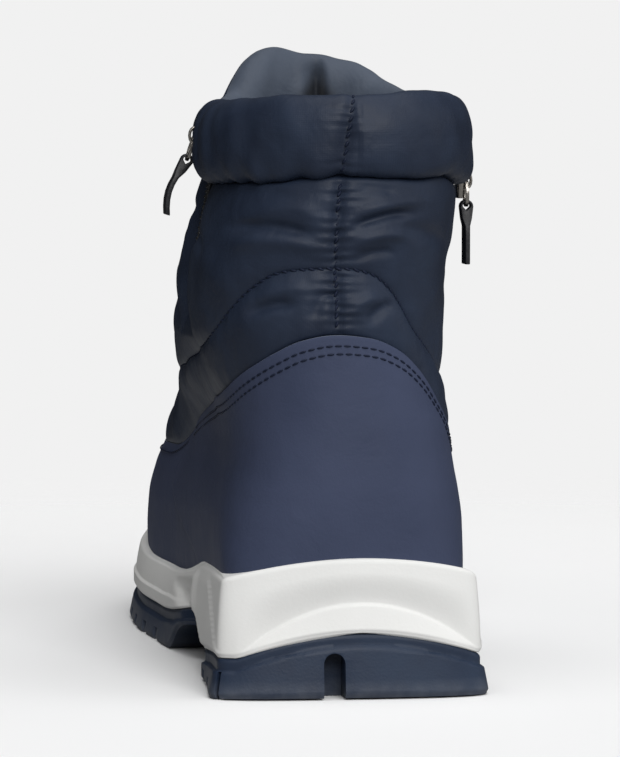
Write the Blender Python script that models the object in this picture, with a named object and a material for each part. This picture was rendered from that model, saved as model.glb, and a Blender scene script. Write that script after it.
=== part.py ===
"""Padded winter boot for the right foot, as an assembly of its sewn, moulded and metal pieces.

Frame: +X to the outer side of the foot, +Y to the toe, +Z up, metres.
The origin is on the floor under the middle of the heel. "Along" is the distance from the back of the heel.
"Round" runs over the outline from the middle of the heel (0) to the toe (1), on the outer side above zero
and on the inner side below it.
"""

import math
from typing import NamedTuple

import bmesh
import bpy
from mathutils import Matrix, Vector

# Driving dimensions
BOOT_LENGTH = 0.282
BALL_WIDTH = 0.102
SHAFT_WIDTH = 0.0704
BACK_HEIGHT = 0.178
HEEL_CENTRE = 0.040
GAP = 0.0003

# Walls and layers
UPPER_WALL = 0.0040
OVERLAY_THICKNESS = 0.0016
INSOLE_THICKNESS = 0.0045
PUFF = 0.0034
ZIP_HALF_WIDTH = 0.0036
ZIP_THICKNESS = 0.0013
ZIP_VALLEY = 0.0078

# Outline columns from heel to toe: rounded heel, long side, rounded toe
REAR_SEGMENTS = 7
SIDE_SEGMENTS = 9
FRONT_SEGMENTS = 8
SEGMENTS = REAR_SEGMENTS + SIDE_SEGMENTS + FRONT_SEGMENTS
REAR_SHARE = REAR_SEGMENTS / SEGMENTS
FRONT_SHARE = FRONT_SEGMENTS / SEGMENTS
HEEL_ROUNDNESS = 3.0
TOE_ROUNDNESS = 2.45
SHAFT_ROUNDNESS = 2.3

# The level that stands for the seat line of the sole, and the level above which levels are plain heights
SEAT_LEVEL = 0.022
FLAT_LEVEL = 0.100


class SoleRow(NamedTuple):
    """One station of the sole: half widths as shares of the ball width, and heights of its layers."""

    along: float
    lateral: float
    medial: float
    seat: float
    joint: float
    rim: float
    ground: float


SOLE = (
    SoleRow(0.000, 0.360, 0.418, 0.0270, 0.0120, 0.0355, 0.0006),
    SoleRow(0.012, 0.362, 0.416, 0.0270, 0.0119, 0.0358, 0.0000),
    SoleRow(0.024, 0.366, 0.413, 0.0270, 0.0114, 0.0355, 0.0000),
    SoleRow(0.040, 0.373, 0.410, 0.0270, 0.0101, 0.0349, 0.0000),
    SoleRow(0.056, 0.381, 0.408, 0.0267, 0.0090, 0.0342, 0.0000),
    SoleRow(0.068, 0.387, 0.408, 0.0263, 0.0118, 0.0336, 0.0060),
    SoleRow(0.080, 0.393, 0.409, 0.0256, 0.0150, 0.0330, 0.0098),
    SoleRow(0.096, 0.401, 0.414, 0.0238, 0.0166, 0.0304, 0.0112),
    SoleRow(0.112, 0.408, 0.422, 0.0218, 0.0144, 0.0276, 0.0080),
    SoleRow(0.128, 0.430, 0.430, 0.0200, 0.0124, 0.0256, 0.0000),
    SoleRow(0.146, 0.455, 0.440, 0.0182, 0.0114, 0.0246, 0.0000),
    SoleRow(0.186, 0.515, 0.472, 0.0170, 0.0116, 0.0246, 0.0000),
    SoleRow(0.222, 0.490, 0.462, 0.0180, 0.0118, 0.0262, 0.0004),
    SoleRow(0.254, 0.440, 0.435, 0.0215, 0.0145, 0.0310, 0.0042),
    SoleRow(0.282, 0.400, 0.400, 0.0270, 0.0195, 0.0370, 0.0105),
)
SOLE_HEEL_ROUND = 0.009
SOLE_TOE_ROUND = 0.078
WAIST_START = 0.087
WAIST_END = 0.136
WAIST_INSET = 0.0062
WAIST_SLANT = 0.037
WAIST_SLANT_FOOT = 0.0075
WAIST_SLANT_HEIGHT = 0.0175

# The back of the sole: its layers arch up in the middle of the heel
BACK_ARCH_HALF_WIDTH = 0.037
BACK_ARCH_DEPTH = 0.036
JOINT_ARCH = 0.0074
RIM_ARCH = 0.0062
CREASE_ARCH = 0.0152

SIDE_STEP = 0.0009
OUTSOLE_LIP = 0.0037
OUTSOLE_FLARE = 0.0026
HEEL_SIDE_FLARE = 0.0010
FOREFOOT_CREASE = 0.0048
HEEL_CREASE = 0.0008


class UpperRow(NamedTuple):
    """One level of the upper: its back and front, the lengths of the rounded ends, and its width."""

    level: float
    back: float
    front: float
    back_round: float
    front_round: float
    inset: float
    shaft: float
    lean: float


UPPER = (
    UpperRow(0.0220, 0.0062, 0.2755, 0.0190, 0.0760, 0.0062, 0.00, 0.0000),
    UpperRow(0.0340, 0.0060, 0.2765, 0.0225, 0.0760, 0.0055, 0.00, -0.0001),
    UpperRow(0.0460, 0.0057, 0.2735, 0.0340, 0.0780, 0.0053, 0.00, 0.0002),
    UpperRow(0.0560, 0.0056, 0.2640, 0.0430, 0.0840, 0.0062, 0.00, 0.0005),
    UpperRow(0.0630, 0.0058, 0.2520, 0.0475, 0.0880, 0.0074, 0.04, 0.0006),
    UpperRow(0.0700, 0.0062, 0.2370, 0.0500, 0.0900, 0.0085, 0.15, 0.0003),
    UpperRow(0.0780, 0.0068, 0.2180, 0.0510, 0.0900, 0.0098, 0.38, -0.0005),
    UpperRow(0.0870, 0.0076, 0.1980, 0.0510, 0.0860, 0.0128, 0.66, -0.0025),
    UpperRow(0.0970, 0.0084, 0.1780, 0.0505, 0.0800, 0.0145, 0.88, -0.0049),
    UpperRow(0.1080, 0.0090, 0.1600, 0.0500, 0.0700, 0.0115, 1.00, -0.0068),
    UpperRow(0.1220, 0.0092, 0.1455, 0.0500, 0.0600, 0.0115, 1.00, -0.0062),
    UpperRow(0.1380, 0.0092, 0.1370, 0.0500, 0.0540, 0.0115, 1.00, -0.0033),
    UpperRow(0.1560, 0.0090, 0.1330, 0.0500, 0.0510, 0.0115, 1.00, -0.0003),
    UpperRow(0.1950, 0.0086, 0.1320, 0.0500, 0.0505, 0.0115, 1.00, 0.0009),
)


class SeamRow(NamedTuple):
    """Heights, round the outline, of the panels' top edge and of the sewn lines on the upper."""

    round: float
    panel_lateral: float
    panel_medial: float
    quilt_lateral: float
    quilt_medial: float
    collar: float


SEAMS = (
    SeamRow(0.000, 0.1070, 0.1070, 0.1266, 0.1266, 0.1530),
    SeamRow(0.042, 0.1059, 0.1054, 0.1250, 0.1264, 0.1530),
    SeamRow(0.083, 0.1023, 0.1020, 0.1190, 0.1252, 0.1530),
    SeamRow(0.125, 0.0955, 0.0982, 0.1090, 0.1208, 0.1529),
    SeamRow(0.167, 0.0868, 0.0945, 0.1018, 0.1142, 0.1528),
    SeamRow(0.208, 0.0795, 0.0910, 0.0958, 0.1075, 0.1526),
    SeamRow(0.250, 0.0752, 0.0882, 0.0924, 0.1034, 0.1524),
    SeamRow(0.292, 0.0732, 0.0862, 0.0908, 0.1011, 0.1520),
    SeamRow(0.340, 0.0718, 0.0846, 0.0900, 0.1000, 0.1520),
    SeamRow(0.375, 0.0708, 0.0836, 0.0896, 0.0994, 0.1520),
    SeamRow(0.417, 0.0697, 0.0825, 0.0893, 0.0988, 0.1520),
    SeamRow(0.458, 0.0686, 0.0809, 0.0892, 0.0983, 0.1522),
    SeamRow(0.500, 0.0675, 0.0789, 0.0893, 0.0978, 0.1525),
    SeamRow(0.542, 0.0664, 0.0762, 0.0897, 0.0972, 0.1530),
    SeamRow(0.584, 0.0652, 0.0712, 0.0904, 0.0966, 0.1535),
    SeamRow(0.667, 0.0630, 0.0630, 0.0915, 0.0942, 0.1550),
    SeamRow(0.800, 0.0612, 0.0612, 0.0925, 0.0868, 0.1575),
    SeamRow(1.000, 0.0640, 0.0640, 0.0990, 0.0990, 0.1590),
)
COUNTER_END = 13
GUARD_SHIFT = 0.0010
VAMP_QUILT_START = 0.60
VAMP_QUILT_FULL = 0.82
VAMP_CHANNELS = 3

# Rings of the upper under its panels, and ring places in the padded bands as shares of the band
LOW_ROWS = 5
VAMP_BAND = (0.0, 1 / 6, 1 / 3, 1 / 2, 2 / 3, 5 / 6)
SHAFT_BAND = (0.0, 0.14, 0.34, 0.60, 0.84, 1.0)

# Collar rolls
COLLAR_OUT = 0.0058
COLLAR_IN = 0.0066
COLLAR_STEPS = 12
COLLAR_FLATNESS = 2.15
PINCH_DEPTH = 0.0016
PINCH_WIDTH = 0.022
PINCH_ROUND = 0.988
COLLAR_FALL = {-1: 0.0020, 1: 0.0004}
COLLAR_FALL_ROUND = 0.34
COLLAR_ZIP_GAP = 0.0045


class FrontRow(NamedTuple):
    """Height of the front collar roll's top at a place round the outline, on the outer and the inner side."""

    round: float
    lateral: float
    medial: float


FRONT_COLLAR = (
    FrontRow(0.300, 0.1755, 0.1745),
    FrontRow(0.680, 0.1765, 0.1748),
    FrontRow(0.790, 0.1790, 0.1762),
    FrontRow(0.835, 0.1815, 0.1785),
    FrontRow(0.865, 0.1838, 0.1855),
    FrontRow(0.885, 0.1860, 0.1892),
    FrontRow(0.915, 0.1886, 0.1918),
    FrontRow(0.950, 0.1896, 0.1929),
    FrontRow(1.000, 0.1912, 0.1912),
)


class ZipRow(NamedTuple):
    """One side zip: its side, where it runs, the height of its slider, and how far its pull hangs out."""

    name: str
    side: int
    along: float
    slider: float
    splay: float


ZIPS = (
    ZipRow("medial", -1, 0.0740, 0.1652, math.radians(18)),
    ZipRow("lateral", 1, 0.0630, 0.1515, math.radians(0)),
)
ZIP_BOTTOM = 0.112
ZIP_TOP = 0.1735
ZIP_STEPS = 9

# Slider, its bridge, the wire pull that hangs on the bridge, and the strap on the pull
SLIDER_LENGTH = 0.0110
SLIDER_WIDTH = 0.0076
SLIDER_THICKNESS = 0.0021
SLIDER_TAPER = 0.72
BRIDGE_WIDTH = 0.0018
BRIDGE_LENGTH = 0.0062
BRIDGE_HEIGHT = 0.0031
BRIDGE_BAR = 0.0008
PULL_WIRE = 0.0006
PULL_WIDTH = 0.0062
PULL_LENGTH = 0.0080
TAB_WIDTH = 0.0076
TAB_THICKNESS = 0.0015
TAB_LENGTH = 0.0165
TAB_BOW = 0.0024
TAB_STEPS = 7

# Tread
LUG_DEPTH = 0.0042
GROOVE_WIDTH = 0.0050
GROOVE_RIB = 0.0050
GROOVE_SKEW = math.radians(14)
HEEL_GROOVES = (0.027, 0.045)
FOREFOOT_GROOVES = (0.152, 0.170, 0.188, 0.206, 0.224, 0.242)
NOTCH_OFFSET = -0.0083
NOTCH_WIDTH = 0.0064
NOTCH_TOP = 0.0138
NOTCH_DEPTH = 0.0085
CORNER_SLOT_WIDTH = 0.0014
CORNER_SLOT_DEPTH = 0.0022
CORNER_SLOT_TOP = 0.0082
CORNER_SLOT_ALONG = 0.0042
CORNER_SLOT_OUT = 0.0420

# Finishes: colour, roughness and metallic value
FINISHES = {
    "nylon": ((0.018, 0.024, 0.042), 0.38, 0.0),
    "coated_leather": ((0.034, 0.042, 0.075), 0.55, 0.0),
    "foam": ((0.82, 0.82, 0.80), 0.60, 0.0),
    "rubber": ((0.030, 0.042, 0.072), 0.50, 0.0),
    "felt": ((0.030, 0.028, 0.027), 0.95, 0.0),
    "zip_tape": ((0.010, 0.011, 0.014), 0.70, 0.0),
    "gunmetal": ((0.30, 0.28, 0.25), 0.30, 1.0),
    "strap": ((0.012, 0.012, 0.013), 0.50, 0.0),
}


# Curves through the tables


def ease(share):
    """Smooth step from 0 to 1."""
    share = min(1.0, max(0.0, share))
    return share * share * (3 - 2 * share)


def read(rows, column, at):
    """A column of a table at a place on its first column, on a smooth curve that is level at both ends."""
    keys = [row[0] for row in rows]
    values = [getattr(row, column) for row in rows]
    if at <= keys[0]:
        return values[0]
    if at >= keys[-1]:
        return values[-1]
    steep = [(values[i + 1] - values[i]) / (keys[i + 1] - keys[i]) for i in range(len(keys) - 1)]
    slopes = [0.0]
    for before, after in zip(steep, steep[1:]):
        slopes.append(2 * before * after / (before + after) if before * after > 0 else 0.0)
    slopes.append(0.0)
    i = max(k for k in range(len(keys) - 1) if keys[k] <= at)
    width = keys[i + 1] - keys[i]
    s = (at - keys[i]) / width
    near = (1 + 2 * s) * (1 - s) ** 2 * values[i] + s * (1 - s) ** 2 * width * slopes[i]
    far = s * s * (3 - 2 * s) * values[i + 1] + s * s * (s - 1) * width * slopes[i + 1]
    return near + far


def place(x, along, z):
    """A point of the boot from its offset to the outer side, its distance from the heel and its height."""
    return Vector((x, along - HEEL_CENTRE, z))


def outline(share, back, front, back_round, front_round, shaft=0.0):
    """Distance along the boot, and the share of the half width, at a share of the way from heel to toe."""
    if share < REAR_SHARE:
        power = 2 / (HEEL_ROUNDNESS + (SHAFT_ROUNDNESS - HEEL_ROUNDNESS) * shaft)
        turn = share / REAR_SHARE * math.pi / 2
        return back + back_round * (1 - math.cos(turn) ** power), math.sin(turn) ** power
    if share > 1 - FRONT_SHARE:
        power = 2 / (TOE_ROUNDNESS + (SHAFT_ROUNDNESS - TOE_ROUNDNESS) * shaft)
        turn = max(0.0, (1 - share) / FRONT_SHARE) * math.pi / 2
        return front - front_round * (1 - math.cos(turn) ** power), math.sin(turn) ** power
    on_side = (share - REAR_SHARE) / (1 - REAR_SHARE - FRONT_SHARE)
    start = back + back_round
    return start + (front - front_round - start) * on_side, 1.0


def sole_half_width(along, side):
    """Half width of the sole at its widest line."""
    return BALL_WIDTH * read(SOLE, "lateral" if side > 0 else "medial", along)


def columns():
    """Places round the outline of a ring: heel, outer side, toe, inner side."""
    outer = [i / SEGMENTS for i in range(SEGMENTS + 1)]
    return outer + [-share for share in reversed(outer[1:-1])]


# The sole's layers


def back_arch(x, along):
    """How far the layers of the sole arch up at the back of the heel, from 0 to 1."""
    across = max(0.0, 1 - (x / BACK_ARCH_HALF_WIDTH) ** 2)
    return across * (1 - ease(along / BACK_ARCH_DEPTH))


def sole_edge(share):
    """Offset to the side and distance along of the sole's outline."""
    along, full = outline(abs(share), 0.0, BOOT_LENGTH, SOLE_HEEL_ROUND, SOLE_TOE_ROUND)
    side = 1 if share >= 0 else -1
    return side * full * sole_half_width(along, side), along


def waist(along):
    """How far the sole is drawn in under the arch, from 0 to 1."""
    middle = (WAIST_START + WAIST_END) / 2
    if along < middle:
        return ease((along - WAIST_START) / (0.35 * (middle - WAIST_START)))
    return ease((WAIST_END - along) / (WAIST_END - middle))


def sole_point(share, out, z, draw=1.0):
    """A point on the sole's side, moved out from its outline and drawn in at the waist."""
    step = 0.002
    x, along = sole_edge(share)
    before = Vector(sole_edge(wrapped(share - step)))
    after = Vector(sole_edge(wrapped(share + step)))
    run = (after - before).normalized()
    low = 1 - min(1.0, max(0.0, (z - WAIST_SLANT_FOOT) / WAIST_SLANT_HEIGHT))
    out -= draw * WAIST_INSET * waist(along + WAIST_SLANT * low)
    return place(x + run.y * out, along - run.x * out, z)


def flare(along):
    """How far the outsole's foot stands out: most at the heel's back, least on the heel's sides."""
    on_side = ease((along - 0.004) / 0.030) * (1 - ease((along - 0.110) / 0.030))
    return OUTSOLE_FLARE + (HEEL_SIDE_FLARE - OUTSOLE_FLARE) * on_side


def joint_height(x, along):
    """Height of the face where midsole and outsole meet."""
    return read(SOLE, "joint", along) + JOINT_ARCH * back_arch(x, along)


def rim_height(x, along):
    """Height of the midsole's top edge."""
    return read(SOLE, "rim", along) + RIM_ARCH * back_arch(x, along)


def crease_height(x, along):
    """Height of the moulded crease on the midsole's side."""
    to_front = ease((along - WAIST_START) / (WAIST_END - WAIST_START))
    lift = HEEL_CREASE + (FOREFOOT_CREASE - HEEL_CREASE) * to_front
    joint = read(SOLE, "joint", along)
    return joint + lift + CREASE_ARCH * back_arch(x, along)


# The upper


def wrapped(share):
    """A place round the outline brought back to the range from -1 to 1."""
    return (share + 1) % 2 - 1


def level_height(level, along):
    """Height of a level of the upper: low levels follow the seat of the sole, high ones are flat."""
    follow = 1 - ease((level - SEAT_LEVEL) / (FLAT_LEVEL - SEAT_LEVEL))
    return level + (read(SOLE, "seat", along) - SEAT_LEVEL) * follow


def upper_half_width(along, side, level):
    """Half width of the upper's base form at a level: the foot's form below, the shaft's above."""
    foot = sole_half_width(along, side) - read(UPPER, "inset", level)
    blend = read(UPPER, "shaft", level)
    return foot * (1 - blend) + SHAFT_WIDTH / 2 * blend


def upper_base(share, level):
    """A point of the upper's base form, before padding, at a place round the outline and a level."""
    share = wrapped(share)
    side = 1 if share >= 0 else -1
    form = (read(UPPER, name, level) for name in ("back", "front", "back_round", "front_round", "shaft"))
    along, full = outline(abs(share), *form)
    x = read(UPPER, "lean", level) + side * full * upper_half_width(along, side, level)
    return place(x, along, level_height(level, along))


def upper_normal(share, level):
    """Outward direction of the upper's base form."""
    d_round, d_level = 0.004, 0.0008
    run = upper_base(share + d_round, level) - upper_base(share - d_round, level)
    rise = upper_base(share, level + d_level) - upper_base(share, level - d_level)
    return run.cross(rise).normalized()


def upper_point(share, level, out):
    """A point moved out from the upper's base form."""
    return upper_base(share, level) + upper_normal(share, level) * out


def zip_clearance(share, level):
    """0 in the flat valley beside a zip, 1 away from it."""
    point = upper_base(share, level)
    if level < ZIP_BOTTOM - ZIP_VALLEY:
        return 1.0
    row = next(row for row in ZIPS if row.side == (1 if share >= 0 else -1))
    apart = abs(point.y + HEEL_CENTRE - row.along)
    below = max(0.0, ZIP_BOTTOM - level) / ZIP_VALLEY
    return max(below, ease((apart - ZIP_VALLEY) / ZIP_VALLEY))


def level_at_height(share, height):
    """The level whose point at a place round the outline has a wanted height."""
    low, high = SEAT_LEVEL, UPPER[-1].level
    for _ in range(30):
        middle = (low + high) / 2
        if upper_base(share, middle).z < height:
            low = middle
        else:
            high = middle
    return (low + high) / 2


def rim_at(share):
    """Height of the midsole's top edge beside a place round the upper."""
    base = upper_base(share, UPPER[1].level)
    return rim_height(base.x, base.y + HEEL_CENTRE)


def seam_height(name, share):
    """Height of a sewn line or an edge at a place round the outline."""
    share = wrapped(share)
    side = "lateral" if share >= 0 else "medial"
    return read(SEAMS, f"{name}_{side}", abs(share))


def wall_levels(share):
    """Levels of the upper's rings from the midsole's rim to the edge of its panels."""
    first = level_at_height(share, rim_at(share) + GAP)
    last = level_at_height(share, seam_height("panel", share))
    return [first + (last - first) * k / LOW_ROWS for k in range(LOW_ROWS + 1)]


def upper_rings(share):
    """Levels of the upper's rings at a place round the outline, each with its padding."""
    low_levels = wall_levels(share)
    edge = low_levels[-1]
    quilt = level_at_height(share, seam_height("quilt", share))
    top = level_at_height(share, read(SEAMS, "collar", abs(share)))
    vamp = ease((abs(share) - VAMP_QUILT_START) / (VAMP_QUILT_FULL - VAMP_QUILT_START))
    rings = [(SEAT_LEVEL, 0.0)]
    rings += [(level, 0.0) for level in low_levels[:-1]]
    for s in VAMP_BAND:
        one = math.sin(math.pi * s)
        several = abs(math.sin(VAMP_CHANNELS * math.pi * s))
        rings.append((edge + (quilt - edge) * s, PUFF * (one * (1 - vamp) + several * vamp)))
    for s in SHAFT_BAND:
        level = quilt + (top - quilt) * s
        puff = PUFF * math.sin(math.pi * s) ** 0.5 if 0 < s < 1 else 0.0
        rings.append((level, puff * zip_clearance(share, level)))
    return rings


# Mesh helpers


def ring_faces(mesh, lower, upper):
    """Joins two closed rings of corners with faces."""
    count = len(lower)
    for i in range(count):
        k = (i + 1) % count
        mesh.faces.new((lower[i], lower[k], upper[k], upper[i]))


def ladder_cap(mesh, ring, height, cells=4):
    """Closes a ring with rungs from its inner to its outer side, at a height given for each point."""
    half = len(ring) // 2

    def rung(i):
        outer, inner = ring[i].co, ring[-i].co
        between = [inner.lerp(outer, k / cells) for k in range(1, cells)]
        made = [mesh.verts.new((p.x, p.y, height(p.x, p.y + HEEL_CENTRE))) for p in between]
        return [ring[-i], *made, ring[i]]

    last = rung(1)
    for a, b in zip(last, last[1:]):
        mesh.faces.new((ring[0], a, b))
    for i in range(2, half):
        row = rung(i)
        for k in range(cells):
            mesh.faces.new((last[k], row[k], row[k + 1], last[k + 1]))
        last = row
    for a, b in zip(last, last[1:]):
        mesh.faces.new((ring[half], b, a))


def ring(mesh, points):
    """New corners for a ring of points."""
    return [mesh.verts.new(p) for p in points]


def finish_for(name):
    """The material of a finish, made once."""
    material = bpy.data.materials.get(name)
    if material is None:
        colour, roughness, metallic = FINISHES[name]
        material = bpy.data.materials.new(name)
        material.use_nodes = True
        shader = material.node_tree.nodes["Principled BSDF"]
        shader.inputs["Base Color"].default_value = (*colour, 1.0)
        shader.inputs["Roughness"].default_value = roughness
        shader.inputs["Metallic"].default_value = metallic
    return material


def add_object(name, mesh, finish, smooth=math.radians(40)):
    """Makes a named object from a mesh in progress, with its faces pointing out."""
    bmesh.ops.recalc_face_normals(mesh, faces=mesh.faces)
    data = bpy.data.meshes.new(name)
    mesh.to_mesh(data)
    mesh.free()
    data.materials.append(finish_for(finish))
    data.shade_smooth()
    data.set_sharp_from_angle(angle=smooth)
    made = bpy.data.objects.new(name, data)
    bpy.context.scene.collection.objects.link(made)
    return made


def sheet_solid(mesh, outer, inner):
    """A closed shell between two grids of points, each a list of columns of the same length."""
    faces = [[mesh.verts.new(p) for p in column] for column in outer]
    backs = [[mesh.verts.new(p) for p in column] for column in inner]
    wide, tall = len(faces), len(faces[0])
    for i in range(wide - 1):
        for k in range(tall - 1):
            mesh.faces.new((faces[i][k], faces[i + 1][k], faces[i + 1][k + 1], faces[i][k + 1]))
            mesh.faces.new((backs[i][k], backs[i][k + 1], backs[i + 1][k + 1], backs[i + 1][k]))
        for k in (0, tall - 1):
            mesh.faces.new((faces[i][k], faces[i + 1][k], backs[i + 1][k], backs[i][k]))
    for i in (0, wide - 1):
        for k in range(tall - 1):
            mesh.faces.new((faces[i][k], faces[i][k + 1], backs[i][k + 1], backs[i][k]))


def tube(mesh, loops):
    """Joins loops of points along a route into a closed tube with flat ends."""
    rings = [ring(mesh, loop) for loop in loops]
    for a, b in zip(rings, rings[1:]):
        ring_faces(mesh, a, b)
    mesh.faces.new(rings[0])
    mesh.faces.new(tuple(reversed(rings[-1])))


# Pieces


def make_upper():
    """The quilted upper and shaft: one hollow wall, open at the collar and underneath."""
    mesh = bmesh.new()
    places = columns()
    stacks = [upper_rings(share) for share in places]
    outer = [
        ring(mesh, [upper_point(s, *stack[k]) for s, stack in zip(places, stacks)])
        for k in range(len(stacks[0]))
    ]
    inner = [
        ring(mesh, [upper_point(s, stack[k][0], -UPPER_WALL) for s, stack in zip(places, stacks)])
        for k in range(len(stacks[0]))
    ]
    for walls in (outer, inner):
        for lower, upper in zip(walls, walls[1:]):
            ring_faces(mesh, lower, upper)
    ring_faces(mesh, outer[0], inner[0])
    ring_faces(mesh, outer[-1], inner[-1])
    # The wall stands on the seat: its lower edge is level with it
    for corner in (*outer[0], *inner[0]):
        corner.co.z = read(SOLE, "seat", corner.co.y + HEEL_CENTRE) + GAP
    return add_object("upper", mesh, "nylon")


def overlay(name, shares):
    """A panel that lies on the upper's low wall, over some of its columns."""
    outer, inner = [], []
    for share in shares:
        levels = wall_levels(share)
        inner.append([upper_point(share, level, GAP) for level in levels])
        outer.append([upper_point(share, level, GAP + OVERLAY_THICKNESS) for level in levels])
    mesh = bmesh.new()
    sheet_solid(mesh, outer, inner)
    return add_object(name, mesh, "coated_leather")


def make_counter():
    """The heel counter: a smooth panel that wraps the heel under a rounded top edge."""
    return overlay("heel_counter", [i / SEGMENTS for i in range(-COUNTER_END, COUNTER_END + 1)])


def make_guard():
    """The toe guard: a panel round the forefoot from the counter's front edge on one side to the other."""
    first, last = COUNTER_END, 2 * SEGMENTS - COUNTER_END
    shares = [i / SEGMENTS for i in range(first, last + 1)]
    shares[0] += GUARD_SHIFT
    shares[-1] -= GUARD_SHIFT
    return overlay("toe_guard", shares)


def make_midsole():
    """The moulded foam midsole: stepped sides, a rim round the upper, and a seat for the foot."""
    mesh = bmesh.new()
    places = columns()
    edges = [sole_edge(share) for share in places]

    def side_ring(out, height, draw=1.0):
        return ring(mesh, [sole_point(s, out, height(*edge), draw) for s, edge in zip(places, edges)])

    def above(low, high, share):
        return lambda x, along: low(x, along) + (high(x, along) - low(x, along)) * share

    def joint(x, along):
        return joint_height(x, along) + GAP

    stack = [
        side_ring(0.0, joint),
        side_ring(SIDE_STEP, crease_height),
        side_ring(0.0, above(crease_height, rim_height, 0.04)),
        side_ring(-0.0004, above(crease_height, rim_height, 0.45), 0.75),
        side_ring(-0.0010, above(crease_height, rim_height, 0.85), 0.15),
        ring(mesh, [sole_point(share, -0.0022, rim_at(share), 0.0) for share in places]),
    ]
    ledge, lip, wall = [], [], []
    for share in places:
        seat = upper_base(share, SEAT_LEVEL)
        along = seat.y + HEEL_CENTRE
        clear = 2 * GAP
        level = level_at_height(share, rim_at(share))
        for edge, out in ((ledge, OVERLAY_THICKNESS + 3 * GAP), (lip, clear)):
            top = upper_point(share, level, out)
            edge.append(mesh.verts.new((top.x, top.y, rim_at(share))))
        foot = upper_point(share, SEAT_LEVEL, clear)
        wall.append(mesh.verts.new((foot.x, foot.y, read(SOLE, "seat", along))))
    stack += [ledge, lip, wall]
    for lower, upper in zip(stack, stack[1:]):
        ring_faces(mesh, lower, upper)
    ladder_cap(mesh, stack[0], joint)
    ladder_cap(mesh, wall, lambda x, along: read(SOLE, "seat", along))
    return add_object("midsole", mesh, "foam")


def make_outsole():
    """The rubber outsole: a lipped side, a raised waist, and grooves that leave the lugs standing."""
    mesh = bmesh.new()
    places = columns()
    edges = [sole_edge(share) for share in places]

    def side_ring(out, height):
        return ring(mesh, [sole_point(s, out, height(*edge)) for s, edge in zip(places, edges)])

    def ground(x, along):
        return read(SOLE, "ground", along)

    def lip(x, along):
        return joint_height(x, along) - OUTSOLE_LIP

    stack = [
        ring(mesh, [sole_point(s, flare(a), ground(x, a)) for s, (x, a) in zip(places, edges)]),
        side_ring(SIDE_STEP, lip),
        side_ring(0.0, lambda x, along: lip(x, along) + GAP),
        side_ring(-GAP, joint_height),
    ]
    for lower, upper in zip(stack, stack[1:]):
        ring_faces(mesh, lower, upper)
    ladder_cap(mesh, stack[0], ground)
    ladder_cap(mesh, stack[-1], joint_height)
    sole = add_object("outsole", mesh, "rubber")
    cut = sole.modifiers.new("tread", "BOOLEAN")
    cut.operation = "DIFFERENCE"
    cut.object = make_tread_cutter()
    return sole


def add_box(mesh, centre, size, turn=0.0):
    """A box turned about the vertical."""
    matrix = Matrix.Translation(centre) @ Matrix.Rotation(turn, 4, "Z") @ Matrix.Diagonal((*size, 1.0))
    bmesh.ops.create_cube(mesh, size=1.0, matrix=matrix)


def make_tread_cutter():
    """The spaces between the lugs, the round-topped notch at the back and the slots at the heel's corners."""
    mesh = bmesh.new()
    reach = BALL_WIDTH
    for along in (*HEEL_GROOVES, *FOREFOOT_GROOVES):
        ground = read(SOLE, "ground", along)
        for side in (-1, 1):
            centre = place(side * (GROOVE_RIB + reach / 2), along, ground)
            add_box(mesh, centre, (reach, GROOVE_WIDTH, 2 * LUG_DEPTH), side * GROOVE_SKEW)
    round_top = NOTCH_TOP - NOTCH_WIDTH / 2
    floor = -LUG_DEPTH
    profile = [(-NOTCH_WIDTH / 2, floor), (NOTCH_WIDTH / 2, floor)]
    steps = 6
    for k in range(steps + 1):
        turn = math.pi * k / steps
        profile.append((NOTCH_WIDTH / 2 * math.cos(turn), round_top + NOTCH_WIDTH / 2 * math.sin(turn)))
    rings = [
        ring(mesh, [place(NOTCH_OFFSET + x, along, z) for x, z in profile])
        for along in (-NOTCH_DEPTH, NOTCH_DEPTH)
    ]
    ring_faces(mesh, *rings)
    mesh.faces.new(rings[0])
    mesh.faces.new(tuple(reversed(rings[1])))
    for side in (-1, 1):
        centre = place(side * CORNER_SLOT_OUT, CORNER_SLOT_ALONG, 0.0)
        size = (CORNER_SLOT_WIDTH, 4 * CORNER_SLOT_DEPTH, 2 * CORNER_SLOT_TOP)
        add_box(mesh, centre, size, side * math.pi / 4)
    cutter = add_object("tread_cutter", mesh, "rubber")
    cutter.hide_render = True
    cutter.display_type = "WIRE"
    return cutter


def make_insole():
    """The felt footbed on the seat, inside the upper's wall."""
    mesh = bmesh.new()
    places = columns()
    inside = -UPPER_WALL - 2 * GAP
    rings = []
    for rise in (2 * GAP, INSOLE_THICKNESS):
        level = SEAT_LEVEL + rise
        points = [upper_point(share, level, inside) for share in places]
        rings.append(ring(mesh, [
            (p.x, p.y, read(SOLE, "seat", p.y + HEEL_CENTRE) + rise) for p in points
        ]))
    ring_faces(mesh, *rings)
    for edge, rise in zip(rings, (2 * GAP, INSOLE_THICKNESS)):
        ladder_cap(mesh, edge, lambda x, along, rise=rise: read(SOLE, "seat", along) + rise)
    return add_object("insole", mesh, "felt")


def share_at_along(along, side, level):
    """The place round the outline where a level reaches a distance from the heel, on one side."""
    low, high = 0.0, 1.0
    for _ in range(30):
        middle = (low + high) / 2
        if upper_base(middle, level).y + HEEL_CENTRE < along:
            low = middle
        else:
            high = middle
    return side * (low + high) / 2


def collar_top(share, front):
    """Height of a collar roll's top: level at the back, rising to two humps at the front."""
    side = 1 if share >= 0 else -1
    if not front:
        return BACK_HEIGHT - COLLAR_FALL[side] * ease(abs(share) / COLLAR_FALL_ROUND)
    pinch = math.exp(-((wrapped(share - PINCH_ROUND) / PINCH_WIDTH) ** 2))
    return read(FRONT_COLLAR, "lateral" if side > 0 else "medial", abs(share)) - PINCH_DEPTH * pinch


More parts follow.
